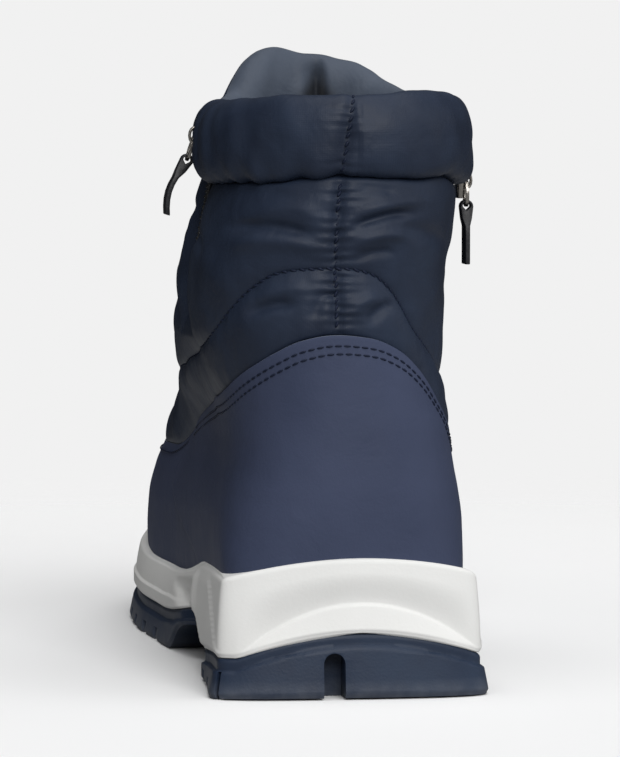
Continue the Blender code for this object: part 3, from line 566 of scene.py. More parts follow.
def grid_piece(name: str, columns: int, rows: int, shape: Shape,
               size: tuple[float, float]) -> bpy.types.Object:
    """A fine grid laid over a form, with its doubled edges merged.

    Args:
        name: Name of the piece.
        columns: Faces across the grid.
        rows: Faces up the grid.
        shape: Gives the point for each place across and up the grid, both from 0 to 1.
        size: Real width and height of the grid's map, in metres, for patterns that follow the surface.

    Returns:
        The piece, smooth-shaded.
    """
    deselect()
    bpy.ops.mesh.primitive_grid_add(x_subdivisions=columns, y_subdivisions=rows, size=1.0, calc_uvs=True)
    piece = bpy.context.object
    piece.name = piece.data.name = name
    flat = np.empty(len(piece.data.vertices) * 3)
    piece.data.vertices.foreach_get("co", flat)
    flat = flat.reshape(-1, 3)
    points = shape(flat[:, 0] + 0.5, flat[:, 1] + 0.5)
    piece.data.vertices.foreach_set("co", np.ascontiguousarray(points, dtype=np.float32).ravel())
    layer = piece.data.uv_layers[0].data
    uv = np.empty(len(layer) * 2)
    layer.foreach_get("uv", uv)
    layer.foreach_set("uv", (uv.reshape(-1, 2) * np.array(size)).ravel())
    merge_and_turn(piece)
    bpy.ops.object.shade_smooth()
    return piece


def repeat_piece(name: str, pattern: bpy.types.Object, places: Sequence[Matrix]) -> bpy.types.Object:
    """One mesh made of copies of a small pattern piece, which is then removed.

    Args:
        name: Name of the new piece.
        pattern: The piece that repeats.
        places: Where each copy goes.

    Returns:
        The new piece, smooth-shaded.
    """
    corners = np.array([v.co for v in pattern.data.vertices])
    faces = [tuple(p.vertices) for p in pattern.data.polygons]
    all_corners, all_faces = [], []
    for k, place in enumerate(places):
        turn = np.array(place)
        all_corners.append(corners @ turn[:3, :3].T + turn[:3, 3])
        all_faces += [tuple(i + k * len(corners) for i in face) for face in faces]
    data = bpy.data.meshes.new(name)
    data.from_pydata(np.concatenate(all_corners).tolist(), [], all_faces)
    data.shade_smooth()
    bpy.data.objects.remove(pattern)
    piece = bpy.data.objects.new(name, data)
    bpy.context.scene.collection.objects.link(piece)
    return piece


def frame_copy(node: str, name: str) -> bpy.types.Object:
    """A merged copy of a solid of the frame, free to be shaped.

    Args:
        node: Name of the frame's node.
        name: Name of the copy.

    Returns:
        The copy, at the origin.
    """
    source = bpy.data.objects[node]
    data = source.data.copy()
    data.materials.clear()
    data.transform(source.matrix_world)
    piece = bpy.data.objects.new(name, data)
    bpy.context.scene.collection.objects.link(piece)
    merge_and_turn(piece, 1e-5)
    bpy.ops.object.mode_set(mode="EDIT")
    bpy.ops.mesh.select_all(action="SELECT")
    bpy.ops.mesh.tris_convert_to_quads(face_threshold=math.radians(20), shape_threshold=math.radians(40))
    bpy.ops.object.mode_set(mode="OBJECT")
    return piece


def linear(code: str) -> tuple[float, float, float, float]:
    """Linear colour of an sRGB hex value such as "2a2e39"."""
    parts = [int(code[i:i + 2], 16) / 255 for i in (0, 2, 4)]
    return (*(p / 12.92 if p <= 0.04045 else ((p + 0.055) / 1.055) ** 2.4 for p in parts), 1.0)


def add_node(tree: bpy.types.NodeTree, kind: str, links: dict[Any, Any], **settings: Any) -> bpy.types.Node:
    """Adds one node with its settings and links.

    Args:
        tree: The material's nodes.
        kind: Blender's name of the node.
        links: For each input, a fixed value, or the node and the output that feed it.
        **settings: The node's own settings.

    Returns:
        The node.
    """
    node = tree.nodes.new(kind)
    for name, value in settings.items():
        setattr(node, name, value)
    for socket, source in links.items():
        if isinstance(source, tuple) and isinstance(source[0], bpy.types.Node):
            tree.links.new(source[0].outputs[source[1]], node.inputs[socket])
        else:
            node.inputs[socket].default_value = source
    return node


class MixSocket:
    """Numbers of the colour sockets of Blender's Mix node."""

    FACTOR = 0
    A = 6
    B = 7
    RESULT = 2


def wave_scale(pitch: float) -> float:
    """Scale of Blender's Wave texture for bands that repeat at a pitch in metres."""
    return 2 * math.pi / (20 * pitch)


@dataclass(frozen=True)
class Finish:
    """A finish: its name, its main colours, and how it takes the light."""

    name: str
    colour: str
    second: str
    roughness: float
    specular: float = 0.4
    metallic: float = 0.0
    sheen: float = 0.0
    mottle: float = 0.020
    grain: float = 0.0008
    grain_depth: float = 0.00004
    weave: float = 0.0
    weave_depth: float = 0.00003
    crinkle: float = 0.0
    crinkle_depth: float = 0.0
    rough_spread: float = 0.06

    def make(self) -> bpy.types.Material:
        """Builds the material's nodes.

        Returns:
            The material.
        """
        material = bpy.data.materials.new(self.name)
        material.use_nodes = True
        tree = material.node_tree
        shader = tree.nodes["Principled BSDF"]
        shader.inputs["Metallic"].default_value = self.metallic
        shader.inputs["Specular IOR Level"].default_value = self.specular
        shader.inputs["Sheen Weight"].default_value = self.sheen
        shader.inputs["Sheen Roughness"].default_value = 0.4
        place = add_node(tree, "ShaderNodeTexCoord", {})
        spot = (place, "Object")
        colour = self.tint(tree, spot)
        tree.links.new(colour[0].outputs[colour[1]], shader.inputs["Base Color"])
        patches = add_node(tree, "ShaderNodeTexNoise", {
            "Vector": spot, "Scale": 1 / self.mottle, "Detail": 4.0})
        low, high = self.roughness - self.rough_spread, self.roughness + self.rough_spread
        gloss = add_node(tree, "ShaderNodeMapRange", {
            "Value": (patches, "Fac"), "From Min": 0.3, "From Max": 0.7, "To Min": low, "To Max": high})
        tree.links.new(gloss.outputs["Result"], shader.inputs["Roughness"])
        relief = self.relief(tree, spot, (place, "UV"))
        if relief:
            tree.links.new(relief.outputs["Normal"], shader.inputs["Normal"])
        return material

    def tint(self, tree: bpy.types.NodeTree, spot: tuple) -> tuple:
        """Colour that drifts between the finish's two tones in soft patches.

        Args:
            tree: The material's nodes.
            spot: The node and the output that give the place on the piece.

        Returns:
            The node and the output that give the colour.
        """
        patches = add_node(tree, "ShaderNodeTexNoise", {
            "Vector": spot, "Scale": 1 / self.mottle, "Detail": 6.0})
        share = add_node(tree, "ShaderNodeMapRange", {
            "Value": (patches, "Fac"), "From Min": 0.32, "From Max": 0.68})
        mix = add_node(tree, "ShaderNodeMix", {
            MixSocket.FACTOR: (share, "Result"), MixSocket.A: linear(self.colour),
            MixSocket.B: linear(self.second)}, data_type="RGBA")
        return mix, MixSocket.RESULT

    def relief(self, tree: bpy.types.NodeTree, spot: tuple, flat: tuple) -> bpy.types.Node | None:
        """Fine relief: crinkles, grain and weave, one bump on another.

        Args:
            tree: The material's nodes.
            spot: The node and the output that give the place on the piece.
            flat: The node and the output that give the place on the piece's map.

        Returns:
            The last bump, or nothing for a smooth finish.
        """
        bump = None
        if self.crinkle:
            folds = add_node(tree, "ShaderNodeTexNoise", {
                "Vector": spot, "Scale": 1 / self.crinkle, "Detail": 3.0, "Distortion": 0.6})
            bump = add_node(tree, "ShaderNodeBump", {
                "Height": (folds, "Fac"), "Strength": 1.0, "Distance": self.crinkle_depth})
        if self.grain:
            specks = add_node(tree, "ShaderNodeTexNoise", {
                "Vector": spot, "Scale": 1 / self.grain, "Detail": 2.0})
            links = {"Height": (specks, "Fac"), "Strength": 1.0, "Distance": self.grain_depth}
            if bump:
                links["Normal"] = (bump, "Normal")
            bump = add_node(tree, "ShaderNodeBump", links)
        if self.weave:
            for way in ("X", "Y"):
                threads = add_node(tree, "ShaderNodeTexWave", {
                    "Vector": flat, "Scale": wave_scale(self.weave)}, bands_direction=way, wave_profile="SIN")
                links = {"Height": (threads, "Fac"), "Strength": 1.0, "Distance": self.weave_depth}
                if bump:
                    links["Normal"] = (bump, "Normal")
                bump = add_node(tree, "ShaderNodeBump", links)
        return bump


@dataclass(frozen=True)
class WornFinish(Finish):
    """A finish that is dusted paler towards the ground."""

    dust: str = "8a8a88"
    dust_height: float = 0.010
    dust_most: float = 0.35
    dust_specks: float = 1 / 260

    def tint(self, tree: bpy.types.NodeTree, spot: tuple) -> tuple:
        """The plain tint with a broken film of dust low down.

        Args:
            tree: The material's nodes.
            spot: The node and the output that give the place on the piece.

        Returns:
            The node and the output that give the colour.
        """
        plain = Finish.tint(self, tree, spot)
        axes = add_node(tree, "ShaderNodeSeparateXYZ", {0: spot})
        low = add_node(tree, "ShaderNodeMapRange", {
            "Value": (axes, "Z"), "From Min": 0.0, "From Max": self.dust_height,
            "To Min": self.dust_most, "To Max": 0.0})
        specks = add_node(tree, "ShaderNodeTexNoise", {
            "Vector": spot, "Scale": 1 / self.dust_specks, "Detail": 5.0})
        broken = add_node(tree, "ShaderNodeMath", {
            0: (low, "Result"), 1: (specks, "Fac")}, operation="MULTIPLY")
        mix = add_node(tree, "ShaderNodeMix", {
            MixSocket.FACTOR: (broken, "Value"), MixSocket.A: plain, MixSocket.B: linear(self.dust)},
            data_type="RGBA")
        return mix, MixSocket.RESULT


@dataclass(frozen=True)
class PaintedShadeFinish(Finish):
    """A finish with painted shade: it darkens in a wedge round one seam, widest at its foot, where the
    gathers would lie in shade.
    """

    # Colour of the painted shade in the wedge, then where the wedge stands and how far it reaches.
    shade: str = "14161b"
    seam: float = 0.0
    foot: float = 0.0
    half: float = 0.007
    rise: float = 0.010
    core: float = 0.30
    rim: float = 1.20
    most: float = 0.9

    def tint(self, tree: bpy.types.NodeTree, spot: tuple) -> tuple:
        """The plain tint with the wedge of painted shade.

        Args:
            tree: The material's nodes.
            spot: The node and the output that give the place on the piece.

        Returns:
            The node and the output that give the colour.
        """
        plain = Finish.tint(self, tree, spot)
        # Painted shade: darkest at the seam and low down, fading out to the sides and upwards.
        axes = add_node(tree, "ShaderNodeSeparateXYZ", {0: spot})
        aside = add_node(tree, "ShaderNodeMath", {0: (axes, "X"), 1: self.seam}, operation="SUBTRACT")
        across = add_node(tree, "ShaderNodeMath", {0: (aside, "Value")}, operation="ABSOLUTE")
        wide = add_node(tree, "ShaderNodeMath", {0: (across, "Value"), 1: self.half}, operation="DIVIDE")
        above = add_node(tree, "ShaderNodeMapRange", {
            "Value": (axes, "Z"), "From Min": self.foot, "From Max": self.foot + self.rise})
        reach = add_node(tree, "ShaderNodeMath", {0: (wide, "Value"), 1: (above, "Result")}, operation="ADD")
        dark = add_node(tree, "ShaderNodeMapRange", {
            "Value": (reach, "Value"), "From Min": self.core, "From Max": self.rim,
            "To Min": self.most, "To Max": 0.0},
            interpolation_type="SMOOTHSTEP")
        mix = add_node(tree, "ShaderNodeMix", {
            MixSocket.FACTOR: (dark, "Result"), MixSocket.A: plain, MixSocket.B: linear(self.shade)},
            data_type="RGBA")
        return mix, MixSocket.RESULT


@dataclass(frozen=True)
class PaperFinish(Finish):
    """A pale finish that throws back less light than it shows, so that the boot's sides keep their colour."""

    bounce: str = "a8a8a8"

    def tint(self, tree: bpy.types.NodeTree, spot: tuple) -> tuple:
        """The plain tint where it is seen, and a duller one for the light that it throws back.

        Args:
            tree: The material's nodes.
            spot: The node and the output that give the place on the piece.

        Returns:
            The node and the output that give the colour.
        """
        plain = Finish.tint(self, tree, spot)
        ray = add_node(tree, "ShaderNodeLightPath", {})
        mix = add_node(tree, "ShaderNodeMix", {
            MixSocket.FACTOR: (ray, "Is Camera Ray"), MixSocket.A: linear(self.bounce), MixSocket.B: plain},
            data_type="RGBA")
        return mix, MixSocket.RESULT


class Wardrobe:
    """All the finishes of the boot, each made once."""

    def __init__(self) -> None:
        """Makes the materials."""
        # Calendered nylon taffeta: dark navy, a dull sheen on the swells, a thread grid and fine crinkles.
        # The threads are about 0.2 mm apart and are drawn at 0.6 mm so that they show.
        self.nylon = Finish("calendered_nylon_taffeta", "1b2333", "222c3e", 0.54, 0.23, mottle=0.016,
                            grain=0.0016, grain_depth=0.00006, weave=0.0006, weave_depth=0.000008,
                            crinkle=0.010, crinkle_depth=0.0005).make()
        # Nylon facing inside the front collar roll: the same navy cloth, painted paler as a painted highlight
        # for the light on its humps, with a soft bloom and a wedge of painted shade at the foot of its front
        # pinch.
        self.facing = PaintedShadeFinish("brushed_nylon_facing", "3b4350", "454d5a", 0.60, 0.24, sheen=0.15,
                                     mottle=0.012, grain=0.0016, grain_depth=0.00008, crinkle=0.012,
                                     crinkle_depth=0.0006, seam=0.0032, foot=0.1775).make()
        # Polyurethane-coated split leather: smooth, half matt, with a shallow embossed grain.
        self.leather = Finish("coated_split_leather", "353c51", "3b4258", 0.58, 0.12, mottle=0.030,
                              grain=0.0009, grain_depth=0.00006, crinkle=0.010, crinkle_depth=0.0003).make()
        # Cut edge of the same leather: pale fibre under the coat, painted lighter still as a painted
        # highlight along the panels' edges.
        self.cut_edge_and_painted_highlight = Finish("cut_leather_edge", "5b6272", "7b818c", 0.75, 0.2, grain=0.0006).make()
        # Moulded EVA foam: off-white, soft and matt, with the fine pebble of its mould.
        self.foam = WornFinish("moulded_eva_foam", "d3d3d1", "d9d9d7", 0.60, 0.20, mottle=0.040,
                               grain=0.0010, grain_depth=0.00004, dust="c9c6bf", dust_height=0.030,
                               dust_most=0.30).make()
        # Moulded rubber: slate navy, half matt, with dust in the texture near the ground.
        self.rubber = WornFinish("moulded_rubber", "1d2739", "243043", 0.50, 0.24, mottle=0.016,
                                 grain=0.0008, grain_depth=0.00006, dust="7d7f84", dust_height=0.006,
                                 dust_most=0.45).make()
        # Brushed polyester fleece: brown-black, no gloss, a nap that catches light at its edge.
        self.fleece = Finish("brushed_polyester_fleece", "171413", "241f1d", 0.95, 0.1, sheen=0.35,
                             mottle=0.006, grain=0.0011, grain_depth=0.0006, crinkle=0.004,
                             crinkle_depth=0.0012).make()
        # Needled felt: charcoal, matt and fibrous.
        self.felt = Finish("needled_felt", "25262a", "313237", 0.92, 0.1, sheen=0.2, mottle=0.004,
                           grain=0.0008, grain_depth=0.0003).make()
        # Woven polyester zip tape: black, ribbed along its length.
        self.tape = Finish("woven_polyester_tape", "0e0f13", "15161b", 0.70, 0.25, sheen=0.1,
                           grain=0.0005, grain_depth=0.00012).make()
        # Moulded acetal zip teeth: black, slightly glossy.
        self.teeth = Finish("moulded_acetal", "0d0e11", "121317", 0.38, 0.45, grain=0.0004,
                            grain_depth=0.00001).make()
        # Die-cast zinc with a dark nickel plate: grey metal with soft reflections.
        self.metal = Finish("dark_nickel_plated_zinc", "8a8680", "9c9892", 0.30, 0.5, metallic=1.0,
                            mottle=0.004, grain=0.0007, grain_depth=0.00002).make()
        # Polyurethane strap: black, half matt, with a rolled edge.
        self.strap = Finish("coated_webbing_strap", "121317", "191a1f", 0.48, 0.38, mottle=0.006,
                            grain=0.0007, grain_depth=0.00008).make()
        # Bonded nylon thread: darker than the cloth, twisted and slightly shiny.
        self.thread = Finish("bonded_nylon_thread", "131a2b", "1a2135", 0.55, 0.15, grain=0.0004,
                             grain_depth=0.00008).make()


class Face(Enum):
    """The side of the boot that a fold is seen from, with the axis that runs across it."""

    BACK = 0
    INNER = 1
    OUTER = 2
    FRONT = 3


@dataclass(frozen=True)
class Fold:
    """A soft trough or ridge placed on one face, between two spots given in millimetres."""

    face: Face
    start: tuple[float, float]
    end: tuple[float, float]
    width: float
    rise: float

    def lift(self, points: Array, normals: Array) -> Array:
        """How far the fold moves each point out.

        Args:
            points: Points of the cloth.
            normals: Their outward directions.

        Returns:
            The moves, in metres.
        """
        across = {Face.BACK: (0, 1, -1), Face.INNER: (1, 0, -1), Face.OUTER: (1, 0, 1), Face.FRONT: (0, 1, 1)}
        axis, facing, sign = across[self.face]
        seen = ease(normals[:, facing] * sign * 2.5)
        start, end = np.array(self.start) * MM, np.array(self.end) * MM
        run = end - start
        flat = points[:, [axis, 2]] - start
        place = flat @ run / (run @ run)
        held = np.clip(place, 0.0, 1.0)
        bow = 0.06 * math.hypot(*run) * np.sin(math.pi * held)
        off = flat - held[:, None] * run
        side = (off[:, 1] * run[0] - off[:, 0] * run[1]) / math.hypot(*run)
        gap = np.where((place > 0) & (place < 1), side - bow, np.linalg.norm(off, axis=1))
        taper = ease(np.minimum(held, 1 - held) / 0.35 + 0.15)
        return FOLD_GAIN * self.rise * MM * np.exp(-((gap / (self.width * MM)) ** 2)) * taper * seen


FOLDS = (
    Fold(Face.BACK, (-4.0, 138.2), (19.0, 143.0), 1.5, -0.9),
    Fold(Face.BACK, (-2.0, 142.0), (24.0, 147.0), 2.2, 0.7),
    Fold(Face.BACK, (-3.0, 128.8), (12.0, 131.6), 1.5, -0.7),
    Fold(Face.BACK, (-2.5, 133.5), (16.0, 136.5), 1.8, 0.6),
    Fold(Face.BACK, (-1.5, 150.5), (12.0, 149.0), 1.6, -0.6),
    Fold(Face.BACK, (12.0, 139.0), (30.0, 133.0), 2.4, -0.6),
    Fold(Face.BACK, (-38.0, 138.6), (-12.0, 136.0), 2.0, -0.9),
    Fold(Face.BACK, (-38.0, 133.4), (-9.0, 132.0), 2.8, 0.8),
    Fold(Face.BACK, (-44.0, 149.0), (-18.0, 148.2), 1.8, -0.6),
    Fold(Face.BACK, (-30.0, 143.6), (-11.0, 143.0), 2.4, 0.5),
    Fold(Face.BACK, (-33.0, 113.0), (-18.0, 116.4), 1.8, -0.8),
    Fold(Face.BACK, (-30.0, 118.0), (-14.0, 121.4), 2.2, 0.5),
    Fold(Face.BACK, (2.0, 110.0), (12.5, 117.0), 1.9, -0.8),
    Fold(Face.BACK, (-3.0, 113.0), (7.0, 119.0), 2.0, 0.5),
    Fold(Face.BACK, (-14.0, 111.0), (-8.0, 122.0), 2.0, -0.5),
    Fold(Face.INNER, (46.0, 106.0), (80.0, 116.0), 3.0, -1.2),
    Fold(Face.INNER, (52.0, 128.0), (86.0, 124.0), 3.2, -1.1),
    Fold(Face.INNER, (44.0, 143.0), (70.0, 138.0), 2.4, -0.8),
    Fold(Face.INNER, (2.0, 130.0), (26.0, 135.0), 2.2, -0.7),
    Fold(Face.OUTER, (44.0, 108.0), (82.0, 114.0), 3.0, -1.2),
    Fold(Face.OUTER, (50.0, 126.0), (84.0, 130.0), 3.2, -1.1),
    Fold(Face.OUTER, (42.0, 141.0), (72.0, 144.0), 2.4, -0.8),
    Fold(Face.OUTER, (-4.0, 126.0), (14.0, 131.0), 2.2, -0.8),
    Fold(Face.FRONT, (-26.0, 132.0), (20.0, 128.0), 3.0, -1.0),
    Fold(Face.FRONT, (-18.0, 118.0), (26.0, 121.0), 3.0, -1.1),
    Fold(Face.FRONT, (-20.0, 146.0), (22.0, 143.0), 2.6, -0.8),
)


@dataclass(frozen=True)
class ZipRow:
    """One side zip: its name, its side, where it runs, and where its slider stands."""

    name: str
    side: int
    along: float
    slider: float


ZIPS = (ZipRow("medial", -1, 0.0740, 0.1652), ZipRow("lateral", 1, 0.0630, 0.1515))


class SewnLine:
    """A sewn line round the upper, as the level at each place round the outline."""

    def __init__(self, form: BootForm, height: Callable[[Array], Array], steps: int = 960) -> None:
        """Measures the line.

        Args:
            form: The boot's form.
            height: Height of the line at places round the outline.
            steps: Number of places that are measured.
        """
        self.places = np.linspace(-1.0, 1.0, steps + 1)
        self.levels = form.level_at(self.places, height(self.places))

    def __call__(self, share: Array) -> Array:
        """Level of the line at places round the outline."""
        return np.interp(wrapped(share), self.places, self.levels)


@dataclass
class Upper:
    """The quilted nylon upper: two padded bands, a sewn back seam, and the folds of the worn cloth."""

    form: BootForm
    puff: float = 0.0036
    fullness: float = 0.36
    vamp_start: float = 0.78
    vamp_full: float = 0.92
    vamp_channels: int = 3
    ankle_fill: float = 0.0030
    ankle_height: float = 0.090
    ankle_above: float = 0.013
    ankle_below: float = 0.010
    ankle_start: float = 0.45
    ankle_rise: float = 0.20
    ankle_end: float = 0.84
    ankle_fall: float = 0.12
    low_band: float = 0.8
    back_flat: float = 0.38
    back_flat_end: float = 0.10
    back_flat_run: float = 0.16
    zip_valley: float = 0.0078
    zip_bottom: float = 0.112
    zip_pucker: float = 1.2
    zip_pucker_start: float = 0.006
    zip_pucker_reach: float = 0.007
    tuck: float = 0.006
    tuck_in: float = 0.0004
    collar_tuck: float = 0.003
    collar_tuck_in: float = 0.0015
    seam_depth: float = 0.0020
    seam_width: float = 0.0017
    seam_pucker: float = 2.6
    seam_pucker_reach: float = 0.0030
    pucker: float = 0.00042
    pucker_reach: float = 0.0034
    slack_depth: float = 0.00028
    columns: int = 520
    rows: int = 178

    def __post_init__(self) -> None:
        """Measures the sewn lines and draws the random gathers."""
        self.panel = SewnLine(self.form, lambda share: self.form.seam("panel", share))
        self.quilt = SewnLine(self.form, lambda share: self.form.seam("quilt", share))
        self.collar = SewnLine(self.form, self.form.collar_seam)
        self.gathers = [Ripple(seed, length) for seed, length in ((3, 0.0060), (5, 0.0034), (8, 0.0070))]
        self.seam_gathers = [Ripple(seed, 0.0036) for seed in (11, 12)]
        self.zip_gathers = [Ripple(seed, 0.0105) for seed in (21, 22)]
        self.slack = [Ripple(seed, length) for seed, length in ((31, 0.031), (32, 0.024), (33, 0.040))]

    def seam_x(self, z: Array) -> Array:
        """Place across of the back seam at a height."""
        heights = [0.100, 0.108, 0.127, 0.140, 0.154, 0.166, 0.178]
        across = [-0.0060, -0.0063, -0.0068, -0.0064, -0.0052, -0.0036, -0.0015]
        return np.interp(z, heights, across)

    def zip_apart(self, points: Array, share: Array) -> Array:
        """Distance along the boot from each point to the zip on its side."""
        along = points[:, 1] + self.form.heel_centre
        return np.where(share >= 0, np.abs(along - ZIPS[1].along), np.abs(along - ZIPS[0].along))

    def ankle(self, share: Array, z: Array) -> Array:
        """How far the inner side is filled out before the ankle, over both padded bands.

        Args:
            share: Places round the outline.
            z: Their heights.

        Returns:
            The moves out, in metres.
        """
        reach = np.where(z > self.ankle_height, self.ankle_above, self.ankle_below)
        there = ease((-share - self.ankle_start) / self.ankle_rise)
        there = there * (1 - ease((-share - self.ankle_end) / self.ankle_fall))
        return self.ankle_fill * np.exp(-(((z - self.ankle_height) / reach) ** 2)) * there

    def skin(self, share: Array, level: Array) -> Array:
        """Points of the padded cloth.

        Args:
            share: Places round the outline.
            level: Their levels.

        Returns:
            The points, moved out by the padding and in by seams and folds.
        """
        share = wrapped(share)
        base, out = self.form.base(share, level), self.form.normal(share, level)
        panel, quilt, collar = self.panel(share), self.quilt(share), self.collar(share)
        low = np.clip((level - panel) / (quilt - panel), 0, 1)
        high = np.clip((level - quilt) / (collar - quilt), 0, 1)
        vamp = ease((np.abs(share) - self.vamp_start) / (self.vamp_full - self.vamp_start))
        single = np.sin(math.pi * low) ** self.fullness
        several = np.abs(np.sin(self.vamp_channels * math.pi * low)) ** 0.5
        shaft = np.sin(math.pi * high) ** self.fullness
        flat = 1 - self.back_flat * (1 - ease((np.abs(share) - self.back_flat_end) / self.back_flat_run))
        single = single * self.low_band * flat
        shaft = shaft * np.where(high < 0.5, flat + (1 - flat) * 2 * high, 1.0)
        swell = self.puff * np.where(level < quilt, single * (1 - vamp) + several * vamp, shaft)

        apart = self.zip_apart(base, share)
        below = np.clip((self.zip_bottom - level) / self.zip_valley, 0, 1)
        clear = np.maximum(below, ease((apart - 0.6 * self.zip_valley) / (1.2 * self.zip_valley)))

        round_at = girth(base)
        gather = np.zeros(len(share))
        for line, ripple in zip((panel, quilt, collar), self.gathers):
            gather += ripple(round_at) * np.exp(-np.abs(level - line) / self.pucker_reach)
        zip_gather = np.where(share >= 0, self.zip_gathers[1](base[:, 2]), self.zip_gathers[0](base[:, 2]))
        from_zip = np.maximum(apart - self.zip_pucker_start, 0)
        gather += self.zip_pucker * zip_gather * np.exp(-from_zip / self.zip_pucker_reach) * (1 - below)
        slack = self.slack[0](base[:, 0] + 0.7 * base[:, 2]) + self.slack[1](base[:, 1] - 1.1 * base[:, 2])
        slack += self.slack[2](base[:, 2] + 0.3 * base[:, 0])
        inside = np.sin(math.pi * np.where(level < quilt, low, high)) ** 0.7
        swell = swell + self.ankle(share, base[:, 2])
        fine = self.pucker * gather + self.slack_depth * slack
        move = swell * clear + fine * inside * np.clip(clear + 0.15, 0, 1)

        at_back = ease(-out[:, 1] * 2.5)
        side = base[:, 0] - self.seam_x(base[:, 2])
        pucker = np.where(side > 0, self.seam_gathers[0](base[:, 2]), self.seam_gathers[1](base[:, 2]))
        beside = np.exp(-np.abs(side) / self.seam_pucker_reach)
        move += at_back * self.pucker * self.seam_pucker * pucker * beside * inside
        drawn = np.exp(-((side / self.seam_width) ** 2)) * (0.35 + 0.65 * inside)
        move -= at_back * self.seam_depth * drawn
        cloth = base + out * move[:, None]
        for fold in FOLDS:
            lift = fold.lift(cloth, out) * inside * clear
            cloth = cloth + out * lift[:, None]
        return cloth

    def cover(self, u: Array, v: Array) -> Array:
        """Points of the whole skin, from under the panels to under the collar.

        Args:
            u: Places across the grid, round the outline from the toe.
            v: Places up the grid.

        Returns:
            The points.
        """
        share = 2 * u - 1
        panel, quilt, collar = self.panel(share), self.quilt(share), self.collar(share)
        knots = np.array([0.0, 0.05, 0.42, 0.97, 1.0])
        lines = np.stack([panel - self.tuck, panel, quilt, collar, collar + self.collar_tuck])
        spot = np.clip(np.searchsorted(knots, v, side="right") - 1, 0, 3)
        local = (v - knots[spot]) / (knots[spot + 1] - knots[spot])
        closer = (1 - np.cos(math.pi * local)) / 2 * 0.6 + local * 0.4
        local = np.where((spot == 1) | (spot == 2), closer, local)
        every = np.arange(len(u))
        level = lines[spot, every] * (1 - local) + lines[spot + 1, every] * local
        points = self.skin(share, level)
        above = np.clip((level - collar) / self.collar_tuck, 0, 1)
        under = np.clip((panel - level) / self.tuck, 0, 1)
        inward = -self.collar_tuck_in * above - self.tuck_in * ease(4 * under)
        return points + self.form.normal(share, level) * inward[:, None]

    def build(self, wardrobe: Wardrobe) -> None:
        """Makes the upper's cloth in place of the plain upper.

        Args:
            wardrobe: The finishes.
        """
        piece = grid_piece("upper_cloth", self.columns, self.rows, self.cover, (0.46, 0.10))
        settle(piece, wardrobe.nylon)
        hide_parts("upper")


@dataclass
class Lining:
    """The napped lining inside the upper, from the insole to under the collar."""

    form: BootForm
    depth: float = 0.0046
    foot: float = 0.0265
    past_seam: float = 0.008
    lump: float = 0.0004
    columns: int = 240
    rows: int = 110

    def cover(self, u: Array, v: Array) -> Array:
        """Points of the inner face, soft and a little lumpy.

        Args:
            u: Places across the grid, round the outline from the toe.
            v: Places up the grid.

        Returns:
            The points.
        """
        share = 2 * u - 1
        top = self.form.level_at(share, self.form.seams["collar"](np.abs(wrapped(share))) + self.past_seam)
        level = self.foot + (top - self.foot) * v
        lumps = Ripple(41, 0.016)(share * 0.25 + level) + Ripple(42, 0.012)(level - 0.2 * share)
        inward = -self.depth - self.lump * lumps
        return self.form.base(share, level) + self.form.normal(share, level) * inward[:, None]

    def build(self, wardrobe: Wardrobe) -> None:
        """Makes the lining, its face towards the foot.

        Args:
            wardrobe: The finishes.
        """
        piece = grid_piece("fleece_lining", self.columns, self.rows, self.cover, (0.44, 0.14))
        make_active(piece)
        bpy.ops.object.mode_set(mode="EDIT")
        bpy.ops.mesh.select_all(action="SELECT")
        bpy.ops.mesh.normals_make_consistent(inside=True)
        bpy.ops.object.mode_set(mode="OBJECT")
        settle(piece, wardrobe.fleece)


class CollarPart(Enum):
    """The two collar rolls."""

    BACK = "collar_back"
    FRONT = "collar_front"


